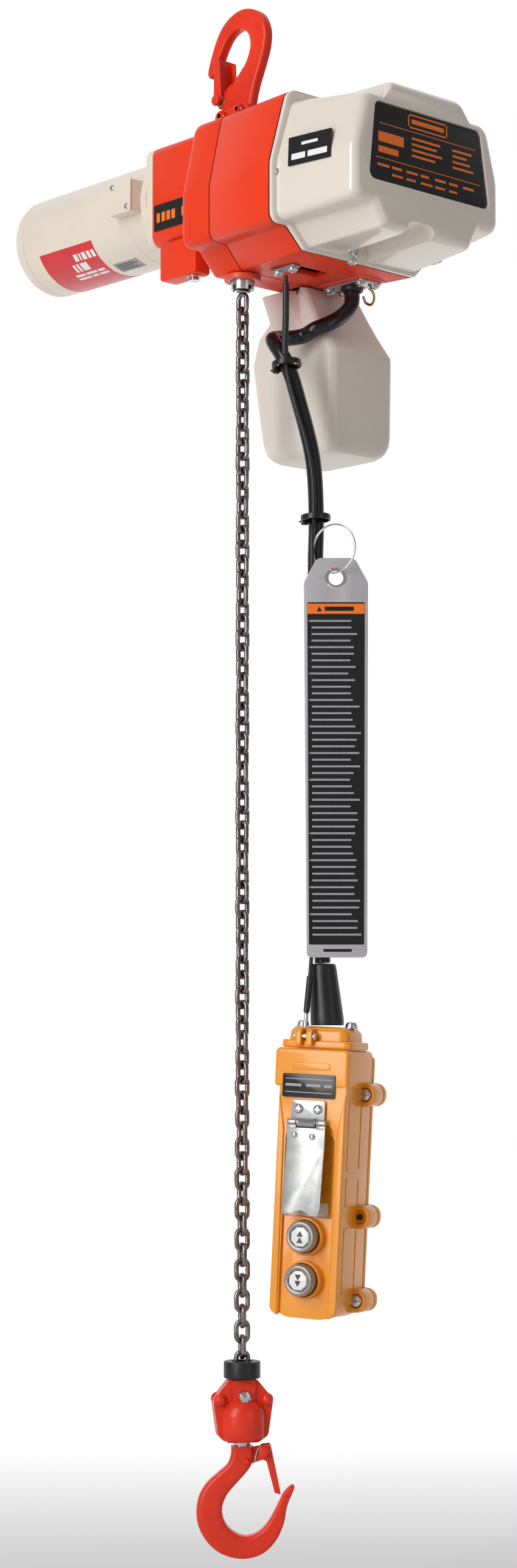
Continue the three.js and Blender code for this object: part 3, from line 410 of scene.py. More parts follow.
LATCH_PIVOT = (-21, 0, -56.5)
latch_ear = rounded([(-25.2, -19, 1), (-25.2, -48, 2), (-26.2, -57, 4), (-21, -61.8, 4.5), (-16.3, -56.5, 4),
                     (-17.5, -40, 6), (-18.5, -22, 2)], 4)
latch_web = [(-25.2, -19.5), (-23.6, -19.5), (-23.6, -49), (-25.2, -49)]
latch_parts = merge(prism("y", latch_ear, 8, 9.6), prism("y", latch_ear, -9.6, -8), prism("y", latch_web, -9, 9))
piece("hook_top_latch", latch_parts, RED, "red_forging", body="top_latch", bevel=0.45, replaces=["top_latch"])
piece("hook_top_latch_bolt", turned(
    "y", [(-13.2, 1.5), (-12.8, 3.4), (-11.6, 4.4), (-9.9, 4.5), (-9.9, 2), (9.9, 2), (9.9, 4.5), (12.6, 4.5),
          (12.9, 3.9)], LATCH_PIVOT, 32), RED, "red_forging", bevel=0.2, replaces=["top_latch_bolt"])
latch_spring = [(-21 + 3.6 * math.cos(a), -6.8 + 0.32 * a, -56.5 + 3.6 * math.sin(a))
                for a in (0.35 * k for k in range(28))]
piece("hook_top_latch_spring", tube(latch_spring, 0.55, 8), ZINC, "galvanised")


# a hexagon nut with a round crown and the bolt's end, on the load side
CASTLE_NUT = merge(prism("y", circle(4.8, 6), -12.8, -9.6), prism("y", circle(3.5, 24), -14.2, -12.8),
                   rod("y", 2.2, -14.2, -9.6, count=20))
for side, x, z in (("left", -13.5, -72), ("right", 8, -71)):
    bolt = merge(moved(CASTLE_NUT, at(x, 0, z)), prism("y", circle(4.8, 6, x, z), 9.6, 13.4),
                 rod("y", 2.9, -9.6, 9.6, (x, 0, z)))
    piece(f"suspension_{side}_bolt", bolt, RED, "red_forging", bevel=0.35, segments=2,
          replaces=[f"suspension_bolt_{side}"])
    cotter = [(x - 4.6, -12.9, z + 1.2), (x - 2.5, -13.2, z), (x + 2.5, -13.2, z), (x + 5.2, -12.6, z - 1.4)]
    piece(f"suspension_{side}_cotter", tube(spline(cotter, 12), 0.65, 8), ZINC, "galvanised")
for side, a, b in (("front", -9.3, -5.3), ("back", 5.3, 9.3)):
    plate = prism("y", rounded([(-24, -65.5, 6), (-24, -90, 0), (17, -90, 0), (17, -65.5, 6)], 5), a, b)
    piece(f"suspension_{side}", plate, RED, "red_forging", bevel=0.6, replaces=[f"suspension_plate_{side}"])

# ---------- body castings ----------
BODY_Y = 43
SEAM_X, COVER_X, END_X = 10.4, 90, 170
SEAM = dict(keel=54, ledge=71, side=89, top=75, bottom=-205.5, ledge_z=-187, top_z=-80)
JOINT = dict(keel=62, ledge=79, side=97, top=79, bottom=-206.5, ledge_z=-190, top_z=-80)
COVER = dict(keel=58, ledge=74, side=92.5, top=75, bottom=-204, ledge_z=-188, top_z=-88)
END = dict(keel=50, ledge=60, side=82, top=70, bottom=-201, ledge_z=-183, top_z=-96)


def body_ring(x, size, inset=0.0):
    """A cross-section of the body, symmetric about its centre plane."""
    right = [
        (size["keel"] - inset, size["bottom"] + inset, 4), (size["ledge"] - inset * 0.7, size["ledge_z"] + inset, 5),
        (size["side"] - inset, size["ledge_z"] + inset, 8), (size["side"] - inset, -142, 24),
        (size["top"] - inset, size["top_z"] - inset, 11),
    ]
    left = [(-u, z, r) for u, z, r in reversed(right)]
    return [(x, BODY_Y + u, z) for u, z in rounded(right + left)]


def mixed(a, b, t):
    return {key: a[key] + (b[key] - a[key]) * t for key in a}


HOOK_SLOT = box(-26, 19, -10, 10, -100, -70)
CHAIN_HOLE = rod("z", 9.6, -215, -190, count=48)
SLACK_HOLE = rod("z", 9.6, -215, -190, (0, 68.75, 0), 48)

end_rings = []
for k in range(7):
    a = math.pi / 2 * k / 6
    end_rings.append(body_ring(-28 + 10 * (1 - math.cos(a)), SEAM, 10 * (1 - math.sin(a))))
piece("casting_gear_side", loft(end_rings + [body_ring(SEAM_X - 0.45, SEAM)]), ORANGE, "orange_casting",
      bevel=0.5, segments=2, angle=60, replaces=["gear_side_housing"],
      cuts=[loft([body_ring(-20, SEAM, 7), body_ring(SEAM_X + 5, SEAM, 4.5)]), HOOK_SLOT, CHAIN_HOLE, SLACK_HOLE])
piece("casting_main", loft([body_ring(SEAM_X + 0.75, SEAM), body_ring(COVER_X - 0.7, JOINT)]), ORANGE,
      "orange_casting", bevel=0.6, segments=2, angle=60, replaces=["main_housing"],
      cuts=[loft([body_ring(SEAM_X - 2, SEAM, 4.5), body_ring(COVER_X + 2, JOINT, 4.5)]), HOOK_SLOT, CHAIN_HOLE,
            SLACK_HOLE, box(36, 54, 15, 49, -212, -196), rod("z", 8, -212, -190, (43, 83, 0))])
for name, node, x0, x1, size in (("seam_gasket", "housing_gasket", SEAM_X - 0.3, SEAM_X + 0.6, SEAM),
                                 ("cover_seal", "cover_gasket", COVER_X - 0.6, COVER_X + 0.55, JOINT)):
    piece(name, loft([body_ring(x0, size, 0.35), body_ring(x1, size, 0.35)]), RUBBER, "black_rubber",
          replaces=[node], cuts=[loft([body_ring(x0 - 1, size, 4.5), body_ring(x1 + 1, size, 4.5)]), HOOK_SLOT])
# pad over the seam where the chain guide sits
piece("guide_boss", ring("z", 9.8, 15, -211, -206.2, count=64), ORANGE_CAST, "orange_casting", bevel=0.8)
guide = turned("z", [(-218.4, 8.0), (-218.4, 9.0), (-217.6, 9.35), (-199, 9.35), (-199, 7.6), (-217.4, 7.6)],
               count=64, closed=True)
notches = [box(-12, 12, -1.7, 1.7, -222, -214.6), box(-1.7, 1.7, -12, 12, -222, -214.6)]
piece("guide_bushing", guide, STEEL, "steel", bevel=0.25, segments=2, cuts=notches, replaces=["chain_guide"])

# ---------- control cover ----------
PLATE_EDGE = [(-15.5, -102.5, 6), (-22.5, -165.5, 6), (113.5, -165.5, 6), (103, -102.5, 6)]
lip = loft([body_ring(COVER_X + 0.7, JOINT), body_ring(COVER_X + 3.6, JOINT), body_ring(COVER_X + 4.2, JOINT, 0.9)])
hood_rings = [body_ring(COVER_X + 2, COVER), body_ring(COVER_X + 6, mixed(COVER, END, 0.02))]
hood_rings += [body_ring(END_X - 10, mixed(COVER, END, 0.93))]
for k in range(7):
    a = math.pi / 2 * k / 6
    hood_rings.append(body_ring(END_X - 8 + 8 * math.sin(a), END, 7 * (1 - math.cos(a))))
ridge = []
for x, lift in ((COVER_X + 4, 2), (END_X - 9, 0), (END_X - 4, -1.2), (END_X - 1.2, -4.5), (END_X - 0.4, -8)):
    ridge.append([(x, BODY_Y + u, z) for u, z in rounded(
        [(50, -101, 0), (39, -82 + lift, 7), (-39, -82 + lift, 7), (-50, -101, 0)])])
piece("cover_hood", loft(hood_rings), CREAM, "cream_cover", bevel=1.0, angle=45,
      cuts=[prism("x", rounded([(19, -215, 0), (50, -215, 0), (50, -191, 8), (19, -191, 8)]), 94.8, 180),
            prism("x", rounded(PLATE_EDGE), END_X - 2.6, END_X + 3)],
      replaces=["control_cover"])
piece("cover_lip", lip, CREAM, "cream_cover", bevel=0.4, segments=2, angle=60,
      cuts=[loft([body_ring(COVER_X - 2, COVER, 6), body_ring(COVER_X + 8, COVER, 6)])])
piece("cover_ridge", loft(ridge), CREAM, "cream_cover", bevel=0.8, angle=50)


def cross_screw(name, centre, axis, sign, radius, height=2.2, turn=0.4):
    """A pan-head cross-recess screw."""
    head = turned(axis, [(sign * t, r) for t, r in ((0, radius), (height * 0.5, radius * 0.98),
                                                    (height * 0.85, radius * 0.8), (height, radius * 0.55))],
                  centre, 28)
    arms = []
    for a in (turn, turn + math.pi / 2):
        c, s = math.cos(a), math.sin(a)
        w, n = radius * 0.62, radius * 0.13
        quad = [(u * c - v * s, u * s + v * c) for u, v in ((-w, -n), (w, -n), (w, n), (-w, n))]
        low, high = sorted((sign * height * 0.45, sign * height * 1.4))
        arm = prism(axis, quad, low, high)
        arms.append(([tuple(p + q for p, q in zip(v, centre)) for v in arm[0]], arm[1]))
    piece(name, head, STEEL, "steel", bevel=0.15, segments=2, cuts=arms)


cross_screw("cover_screw_low", (92.4, 35, -206.2), "z", -1, 4.2)
cross_screw("cover_screw_channel", (94.9, 34.5, -199), "x", 1, 4.4)
piece("cover_screw_channel_washer", ring("x", 3, 5.6, 94.6, 95.3, (0, 34.5, -199)), STEEL, "steel", bevel=0.1)
cross_screw("cover_screw_side", (94.3, -48.2, -150), "x", 1, 3.2)


def marks(name, rects, axis, level, thick, material, slot, **keywords):
    """Thin raised print: rectangles (u0, u1, v0, v1) on a face across an axis."""
    low, high = sorted((level, level + thick))
    piece(name, merge(*[prism(axis, rectangle(*r), low, high) for r in rects]), material, slot,
          smooth=False, **keywords)


plate_outline = rounded([(y + (0.5 if y < BODY_Y else -0.5), z + (-0.5 if z > -130 else 0.5), r)
                         for y, z, r in PLATE_EDGE])
piece("nameplate_sheet", prism("x", plate_outline, END_X - 2.5, END_X - 1.5), PRINT_BLACK, "black_plate", bevel=0.25,
      replaces=["nameplate"])
PLATE_X = END_X - 1.5
orange_frame = [(22, 66, -106.6, -105.4), (22, 66, -116.6, -115.4), (22, 23.2, -116.6, -105.4),
                (64.8, 66, -116.6, -105.4), (26, 62, -112.8, -109.2)]
marks("nameplate_orange", orange_frame, "x", PLATE_X, 0.12, PRINT_ORANGE, "black_plate")
plate_rows = [(-10, 98, -119.6, -119), (-14, 103, -147.2, -146.6), (-11, 17, -134, -126), (-11, 11, -142.5, -137.5)]
for k in range(4):
    plate_rows.append((26, 26 + (32, 28, 34, 26)[k], -125.4 - 4.6 * k, -123.6 - 4.6 * k))
    plate_rows.append((72, 72 + (22, 16, 20, 24)[k], -125.4 - 4.6 * k, -123.6 - 4.6 * k))
for k in range(7):
    plate_rows.append((-12 + 16 * k, -12 + 16 * k + (13, 11, 12.5, 9, 12, 10, 12)[k], -153.4, -151.4))
    if k < 5:
        plate_rows.append((4 + 16 * k, 4 + 16 * k + (12, 10, 13, 11, 9)[k], -159.2, -157.4))
marks("nameplate_lines", plate_rows, "x", PLATE_X, 0.12, PRINT_ORANGE, "black_plate")

# black label on the cover's load side, with plain bars
SIDE_TILT = math.atan2(9.6, 64)
SIDE_LABEL = at(127, -44.7, -137) @ Matrix.Rotation(SIDE_TILT, 4, "Z") @ Matrix.Rotation(math.radians(-3), 4, "X")
piece("side_label_sheet", prism("y", rectangle(-21, 21, -11.5, 11.5, 0.8), -0.5, 1.5), PRINT_BLACK, "black_plate",
      bevel=0.1, segments=1, place=SIDE_LABEL)
marks("side_label_stripe", [(-8, 8, 3.4, 5.8)], "y", -0.62, 0.12, PRINT_WHITE, "black_plate", place=SIDE_LABEL)
marks("side_label_bars", [(-17.5, -4, -7.2, -2.4), (-1.5, 17.5, -7.2, -2.4)], "y", -0.62, 0.12,
      PRINT_WHITE, "black_plate", place=SIDE_LABEL)

# ---------- gear case and motor ----------
MOTOR_Y, MOTOR_Z, MOTOR_R = 43.5, -115, 43.5


def square(half, corner, steps=8):
    return rectangle(MOTOR_Y - half, MOTOR_Y + half, MOTOR_Z - half, MOTOR_Z + half, corner, steps)


piece("gear_box", prism("x", square(43, 9), -114.7, -27), ORANGE, "orange_casting", bevel=0.8,
      replaces=["gear_case"], cuts=[prism("x", square(38.5, 5), -109.7, -20), rod("x", 14, -130, -100,
                                                                                 (0, MOTOR_Y, MOTOR_Z))])
piece("motor_face", prism("x", square(43, 9), -123, -115), CREAM_MOTOR, "cream_motor", bevel=0.9,
      replaces=["motor_flange"], cuts=[rod("x", 14, -130, -100, (0, MOTOR_Y, MOTOR_Z))])
for k, (dy, dz) in enumerate(((-35, -35), (-35, 35), (35, -35), (35, 35))):
    socket = ring("x", 2.2, 3.9, -127.6, -123, (0, MOTOR_Y + dy, MOTOR_Z + dz), 28)
    piece(f"motor_screw_{k}", merge(socket, rod("x", 2.3, -125.4, -123, (0, MOTOR_Y + dy, MOTOR_Z + dz), 6)),
          STEEL, "steel", bevel=0.25, segments=2)
shell = turned("x", [(-123.3, 40.5), (-123.3, 43.5), (-150.6, 43.5), (-150.9, 43.15), (-151.3, 43.15),
                     (-151.6, 43.5), (-292.7, 43.5), (-293, 43.2), (-293, 40.5)], (0, MOTOR_Y, MOTOR_Z), 96,
               closed=True)
piece("motor_shell", shell, CREAM_MOTOR, "cream_motor", replaces=["motor_housing"])
cap_profile = [(-293.35, 40), (-293.35, 43.2), (-293.6, 43.45), (-298, 43.45)]
for k in range(8):
    a = math.pi / 2 * k / 7
    cap_profile.append((-299.5 - 8.5 * math.sin(a), 35 + 8.5 * math.cos(a)))
cap_profile += [(-308, 20), (-308, 0.01)]
piece("motor_cap", turned("x", cap_profile, (0, MOTOR_Y, MOTOR_Z), 96), CREAM_MOTOR, "cream_motor",
      replaces=["motor_end_cap"])
collar = ring("x", 40.9, 43.48, -126.5, -123.1, (0, MOTOR_Y, MOTOR_Z), 96)
piece("motor_spigot", collar, CREAM_MOTOR, "cream_motor", bevel=0.4)


def motor_patch(x0, x1, a0, a1, radius, thick=0.25, count=32):
    """A sheet on the motor's barrel between two angles, measured from straight down towards the load side."""
    rings = []
    for k in range(count + 1):
        a = math.radians(a0 + (a1 - a0) * k / count)
        s, c = -math.sin(a), -math.cos(a)
        rings.append([(x, MOTOR_Y + s * r, MOTOR_Z + c * r)
                      for x, r in ((x0, radius), (x1, radius), (x1, radius + thick), (x0, radius + thick))])
    return loft(rings)


piece("motor_label_red", motor_patch(-274, -202, -62, 64, MOTOR_R + 0.02), PRINT_RED, "cream_motor")
bars = [motor_patch(x, x + wide, low, low + tall, MOTOR_R + 0.26, 0.1) for low, tall, starts in (
    (45, 9, ((-232, 5), (-225, 2), (-221, 5), (-214, 4), (-208, 4))), (31, 11, ((-240, 3), (-235, 3), (-230, 9))),
    (24, 3.5, ((-246, 12), (-232, 14), (-216, 9))), (18, 3.5, ((-246, 16), (-228, 8), (-218, 12))))
    for x, wide in starts]
piece("motor_label_red_lines", merge(*bars), PRINT_WHITE, "cream_motor")
piece("motor_label_grey", motor_patch(-195, -164, 10, 27, MOTOR_R + 0.02), PRINT_GREY, "cream_motor")
lines = [motor_patch(-192.5, -167 - 3 * (k % 3), 12 + 2.8 * k, 13.4 + 2.8 * k, MOTOR_R + 0.26, 0.1)
         for k in range(5)]
piece("motor_label_grey_lines", merge(*lines), PRINT_BLACK, "cream_motor")

piece("terminal_base", box(-158, -130, -9.8, 12, -125.5, -97.5), CREAM_MOTOR, "cream_motor", bevel=1.4,
      segments=4, replaces=["terminal_box"],
      cuts=[rod("x", MOTOR_R - 0.4, -170, -120, (0, MOTOR_Y, MOTOR_Z), 96)])
lid = rectangle(-158.3, -129.7, -125.8, -97.2, 2.2)
piece("terminal_lid", prism("y", lid, -11.7, -10.1), CREAM_MOTOR, "cream_motor", bevel=0.5,
      replaces=["terminal_box_cover"])
for k, (x, z) in enumerate(((-153.5, -101.5), (-134.5, -121.5))):
    cross_screw(f"terminal_screw_{k}", (x, -11.7, z), "y", -1, 2.6, height=1.2)
piece("weight_block", prism("y", rectangle(-104, -59, -191, -158.6, 3), 0, 17), ORANGE, "orange_casting",
      bevel=1.2, replaces=["balance_weight"])
piece("weight_bolt", merge(prism("z", circle(5.2, 6, -70, 9), -195, -191.2), rod("z", 6.4, -191.9, -191,
                                                                              (-70, 9, 0))), STEEL, "steel",
      bevel=0.4, segments=2)
piece("gear_box_label", prism("y", rectangle(-111.5, -70, -146.5, -124, 0.8), -0.3, 0.1), PRINT_BLACK,
      "black_plate", bevel=0.1, segments=1)
marks("gear_box_label_lines", [(-108 + 6.4 * k, -108 + 6.4 * k + wide, -139.5, -131.5) for k, wide in
                               enumerate((4.2, 4.6, 4.6, 4.4, 0.01, 4.2))], "y", -0.42, 0.15, PRINT_ORANGE,
      "black_plate")

# ---------- inner pieces keep their CAD shape ----------
for node, look in (("motor_stator", GEAR), ("motor_rotor", GEAR), ("rotor_bearing_front", STEEL),
                   ("rotor_bearing_rear", STEEL), ("load_sheave", GEAR), ("load_gear", GEAR),
                   ("intermediate_gear", GEAR), ("sheave_bearing_left", STEEL), ("sheave_bearing_right", STEEL),
                   ("circuit_board", BOARD), ("slack_chain", CHAIN), ("thrust_bearing", STEEL)):
    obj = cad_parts[node]
    obj.data.materials.clear()
    obj.data.materials.append(look)

# ---------- underside fittings ----------
GLAND = (43, 83, 0)
piece("gland_pad", prism("z", rectangle(17, 69, 68, 98, 4), -207.2, -204), ORANGE_CAST, "orange_casting", bevel=1.2)
piece("gland_base", prism("z", rectangle(19.5, 66.5, 70.5, 95.5, 3), -209.6, -206.9), STEEL, "steel", bevel=0.4,
      replaces=["gland_plate"], cuts=[rod("z", 6.7, -215, -200, GLAND, 48)])
piece("gland_ring", turned("z", [(-213.4, 6.9), (-213.4, 8.2), (-212.4, 9.2), (-210.6, 9.4), (-209.6, 9.4),
                                 (-209.6, 6.9)], GLAND, 48, closed=True), RUBBER, "black_rubber", bevel=0.3)
for k, (x, y) in enumerate(((25, 75), (25, 91), (61, 75), (61, 91))):
    cross_screw(f"gland_screw_{k}", (x, y, -210.4), "z", -1, 3.9, height=2.6)
    piece(f"gland_washer_{k}", ring("z", 2, 5.4, -210.5, -209.6, (x, y, 0)), STEEL, "steel", bevel=0.15)
piece("clamp_bar", prism("z", rectangle(31, 58, 2, 11, 1.5), -208.6, -206.2), ZINC, "steel", bevel=0.5,
      replaces=["wire_clamp"])
for k, x in enumerate((36, 53)):
    cross_screw(f"clamp_screw_{k}", (x, 6.5, -208.6), "z", -1, 4.3, height=3.4, turn=0.9 + k)
hook_wire = [(50, 96, -209), (52, 99, -213), (50, 101.5, -218), (46, 102, -221), (42, 100, -219), (42, 97, -214)]
piece("bucket_hanger_wire", tube(spline(hook_wire, 30), 1.1, 10), BRASS, "steel")

# ---------- chain bucket ----------
# z, x0, x1, y0, y1, corner radius
BUCKET = [
    (-206.6, -42, 11.5, 57, 121.8, 6), (-215, -38.6, 16.2, 57, 123.1, 6), (-224, -35, 20.8, 57, 124.5, 6),
    (-231, -32, 24.5, 57, 125.5, 6), (-234, -35.6, 26.4, 57, 125.9, 6), (-242, -45.5, 31.5, 57, 127, 7),
    (-252, -49.8, 38.2, 57, 128.5, 7.5), (-262, -53.5, 45, 57, 130, 8), (-266, -53.4, 45.6, 57, 130, 8),
    (-298, -47.8, 45.3, 57, 129.5, 8), (-330, -42.6, 45.5, 57, 129.2, 9), (-337, -41.3, 45.2, 57.4, 128.6, 10),
    (-342, -39.6, 44, 58.6, 127, 11), (-345.5, -37, 42, 60.8, 124.6, 12), (-347.8, -33.6, 39, 64, 121.4, 12),
    (-348.5, -29.5, 35, 68, 117.4, 11),
]


def bucket_ring(level, inset=0.0, lift=0.0):
    """One level, with the crease that runs down the neck's front to a point."""
    z, x0, x1, y0, y1, corner = level
    outline = rectangle(x0 + inset, x1 - inset, y0 + inset, y1 - inset, max(corner - inset, 2), 6)
    left = min(1.0, max(0.0, (z + 241) / 34))
    middle, wide, deep = 10 - 11 * left, 0.6 + 9 * left, 6.5 * left
    crease = [(middle - wide, y0 + inset), (middle, y0 + inset + deep), (middle + wide * 0.8, y0 + inset)]
    return [(x, y, z + lift) for x, y in outline[:7] + crease + outline[7:]]


outer = [bucket_ring(level) for level in reversed(BUCKET)]
inner = [bucket_ring(level, 2.6, 3 if i > len(BUCKET) - 4 else 0) for i, level in enumerate(BUCKET)]
piece("bucket_shell", loft(outer + inner), CREAM_BUCKET, "cream_bucket", bevel=0.8, segments=3, angle=24,
      replaces=["chain_bucket"])

# ---------- load chain ----------
CHAIN_TOP, WIRE, PITCH, LINKS = -219.3, 4.0, 12.0, 74
YOKE_TURN, HOOK_TURN = math.radians(58.5), math.radians(47.5)


def chain_link(z, turn, count=28, sides=10):
    """A round-wire link standing along Z."""
    half = PITCH / 2 + WIRE / 2
    width = 4.8
    straight = half - width
    line = []
    for k in range(count):
        a = 2 * math.pi * k / count
        line.append((width * math.cos(a), 0, math.copysign(straight, math.sin(a)) + width * math.sin(a)))
    body = tube(line, WIRE / 2, sides, closed=True)
    return moved(body, at(0, 0, z) @ Matrix.Rotation(turn, 4, "Z"))


links = []
for k in range(LINKS):
    late = max(0, k + 1 - (LINKS - 24)) / 24
    sway = 0.10 * math.sin(k * 2.1) * (1 - late)
    links.append(chain_link(CHAIN_TOP - WIRE - PITCH / 2 - k * PITCH,
                            (k % 2) * math.pi / 2 + (YOKE_TURN - math.pi / 2) * late + sway))
chain = piece("load_chain_links", merge(*links), CHAIN, "chain_steel", replaces=["load_chain"])
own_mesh(chain)

# ---------- load block ----------
YOKE = Matrix.Rotation(YOKE_TURN, 4, "Z")
cushion = turned("z", [(-1093.6, 8.7), (-1093.6, 14.0), (-1092.9, 14.6), (-1081, 14.6), (-1080.4, 14.0),
                       (-1080.4, 8.7)], count=64, closed=True)
piece("block_cushion", cushion, RUBBER, "black_rubber", body="load_block", bevel=0.3, replaces=["chain_cushion"],
      place=YOKE)
cheek_outline = rounded([(-11, -1094.3, 4), (-24, -1110, 6), (-20, -1138, 5), (-12, -1143.5, 5), (12, -1143.5, 5),
                         (20, -1138, 5), (24, -1110, 6), (11, -1094.3, 4)], 5)
barrel_profile = [(-1142.6, 12), (-1142.2, 15.4), (-1140, 17.6), (-1136, 18.6), (-1122, 18.8), (-1117.6, 18.1),
                  (-1113.8, 15.6), (-1111, 12.6), (-1109, 9.5)]
for side, a, b, cut_a, cut_b in (("front", -9, -0.2, -0.2, 60), ("back", 0.2, 9, -60, 0.2)):
    sign = -1 if a < 0 else 1
    low, high = (-6.2, -0.2) if sign < 0 else (0.2, 6.2)
    cheek = prism("y", cheek_outline, low, high)
    barrel = turned("z", barrel_profile, count=64)
    neck = rounded([(-9.5, -1094.6, 3), (-8.2, -1112.5, 2), (8.2, -1112.5, 2), (9.5, -1094.6, 3)], 3)
    hump = prism("y", neck, min(sign * 2, sign * 9.2), max(sign * 2, sign * 9.2))
    away = box(-60, 60, cut_a, cut_b, -1200, -1000)
    rooms = [away, rod("z", 8.4, -1115.8, -1080, count=32), rod("z", 14, -1133.5, -1114, count=40),
             rod("z", 7.2, -1150, -1129, count=40)]
    name = f"block_yoke_{side}"
    piece(name, cheek, RED, "red_forging", body="load_block", bevel=1.6, segments=4, cuts=rooms, place=YOKE,
          replaces=[f"yoke_{side}"])
    piece(f"{name}_barrel", barrel, RED, "red_forging", body="load_block", bevel=0.5, cuts=rooms, place=YOKE)
    piece(f"{name}_neck", hump, RED, "red_forging", body="load_block", bevel=2.2, segments=4, cuts=rooms,
          place=YOKE)
    for k, x in enumerate((-18.8, 18.8)):
        dome = [(sign * (6 + d), r) for d, r in ((-1, 5.2), (0.6, 5.2), (2.4, 4.7), (3.9, 3.5), (4.9, 1.8),
                                                 (5.2, 0.01))]
        piece(f"{name}_rivet_{k}", turned("y", dome, (x, 0, -1110), 32), RED, "red_forging", body="load_block",
              place=YOKE)
    curl = [(6.5 * math.cos(t), sign * (9.0 + 0.4 * math.sin(2 * t)), -1099.3 + 2.2 * math.sin(t))
            for t in (0.35 + 2.5 * k / 14 for k in range(15))]
    piece(f"{name}_lip", tube(curl, 1.1, 10), RED, "red_forging", body="load_block", place=YOKE)
PIN_Z = CHAIN_TOP - WIRE - PITCH / 2 - (LINKS - 1) * PITCH - WIRE / 2
nut = merge(prism("y", circle(4.7, 6), -13.2, -9.4), prism("y", circle(3.6, 24), -14.4, -13.2),
            rod("y", 2.4, -14.6, 9.4), prism("y", circle(4.7, 6), 9.4, 13.2))
piece("block_pin", nut, STEEL, "steel", body="load_block", bevel=0.35, segments=2, place=YOKE @ at(0, 0, PIN_Z),
      replaces=["chain_pin"], cuts=[box(-0.9, 0.9, -20, -13.4, -6, 6)])
cotter = [(-4.4, -13.7, 2.6), (-2, -13.9, 0.4), (2.2, -13.9, -0.2), (4.9, -13.2, -2.2)]
piece("block_cotter", tube(spline(cotter, 14), 0.75, 8), CHROME, "steel", body="load_block",
      place=YOKE @ at(0, 0, PIN_Z))

# ---------- load hook ----------
HOOK = Matrix.Rotation(HOOK_TURN, 4, "Z")
LOAD_STATIONS = [
    ((-8.8, -1146.5), (8.8, -1146.5)), ((-8.9, -1152), (8.9, -1152)), ((-11.5, -1160), (7.6, -1160.5)),
    ((-19.5, -1167.3), (2.8, -1167.5)), ((-28, -1175), (-5, -1176)), ((-33.8, -1184.5), (-11.8, -1184.3)),
    ((-36, -1195.5), (-15.4, -1193.5)), ((-34.8, -1207), (-14.6, -1202)), ((-29.5, -1218), (-10.8, -1209)),
    ((-20.5, -1227.3), (-5, -1213.5)), ((-8.5, -1232.6), (0, -1215.6)), ((4.5, -1233.5), (5, -1215.8)),
    ((17, -1229.3), (10.8, -1213.9)), ((27, -1219.5), (16.6, -1209.6)), ((33, -1206.5), (21.5, -1203.4)),
    ((35.6, -1193.5), (26.5, -1194.5)), ((39.4, -1184), (31.4, -1184.7)), ((41.3, -1179.4), (35.2, -1179.6)),
    ((41.2, -1177.2), (38.2, -1177)), ((40.3, -1176.4), (39.3, -1176.4)),
]
LOAD_THICKNESS = [7.6] * 13 + [7.0, 6.6, 6.2, 5.6, 5.0, 3.2, 1.0]
forging = swept_hook(LOAD_STATIONS, LOAD_THICKNESS, 4.2, count=120, sides=32)
# the inner stations at x 0 and 5 are nearly level, where the CAD hook has its flat saddle
piece("hook_load_forging", forging, RED, "red_forging", body="load_hook", place=HOOK, replaces=["bottom_hook"])
ear = rounded([(4, -1148, 0), (12, -1146.6, 2), (22, -1145.6, 4), (22.6, -1155, 5), (6, -1160.5, 0)], 4)
piece("hook_load_ear", prism("y", ear, -2.9, 2.9), RED, "red_forging", body="load_hook", place=HOOK, bevel=0.8)
stem = merge(rod("z", 6.7, -1149, -1128, count=40), rod("z", 12.8, -1129.2, -1117.2, count=40))
piece("hook_load_stem", stem, STEEL, "steel", body="load_hook", place=HOOK, bevel=0.5)
bosses = [turned("y", [(sign * t, r) for t, r in ((6.5, 3.1), (8.2, 3.0), (9.3, 2.2), (9.6, 0.01))],
                 (3, 0, -1157.5), 24) for sign in (-1, 1)]
bosses += [turned("y", [(sign * t, r) for t, r in ((3.6, 2.7), (6.6, 2.6), (7.6, 1.8), (7.9, 0.01))],
                  (34.4, 0, -1187), 24) for sign in (-1, 1)]
piece("hook_load_bosses", merge(*bosses), RED, "red_forging", body="load_hook", place=HOOK)
LATCH = (17.5, -1150.5)
cheek = rounded([(13.2, -1145.8, 3.6), (22.4, -1144.6, 2), (30.6, -1183.6, 1.2), (25.8, -1182.4, 1.2),
                 (19.2, -1157.6, 3), (13, -1155.6, 3.6)], 5)
web = [(20.9, -1146), (22.5, -1145), (30.5, -1183.5), (28.8, -1183.4)]
piece("hook_load_latch", merge(prism("y", cheek, -5.6, -4.1), prism("y", cheek, 4.1, 5.6),
                               prism("y", web, -5.2, 5.2)), RED, "red_forging", body="bottom_latch", place=HOOK,
      bevel=0.5, replaces=["bottom_latch"])
bolt = merge(prism("y", circle(4.6, 6, *LATCH), -9, -5.9), prism("y", circle(3.4, 24, *LATCH), -9.9, -8.9),
             prism("y", circle(4.4, 6, *LATCH), 5.9, 9), rod("y", 2.2, -10.2, 9.4, (LATCH[0], 0, LATCH[1])))
piece("hook_load_latch_bolt", bolt, RED, "red_forging", body="load_hook", place=HOOK, bevel=0.35, segments=2,
      replaces=["bottom_latch_bolt"])
spring_wire = [(15.2, -3.5, -1146.4), (13, -3.6, -1148), (11.4, -3.7, -1152), (10.2, -3.7, -1157.4),
               (9.4, -3.6, -1159.4), (8.6, -3.6, -1158.6)]
piece("hook_load_latch_spring", tube(spline(spring_wire, 24), 0.45, 8), ZINC, "galvanised", body="load_hook",
      place=HOOK)

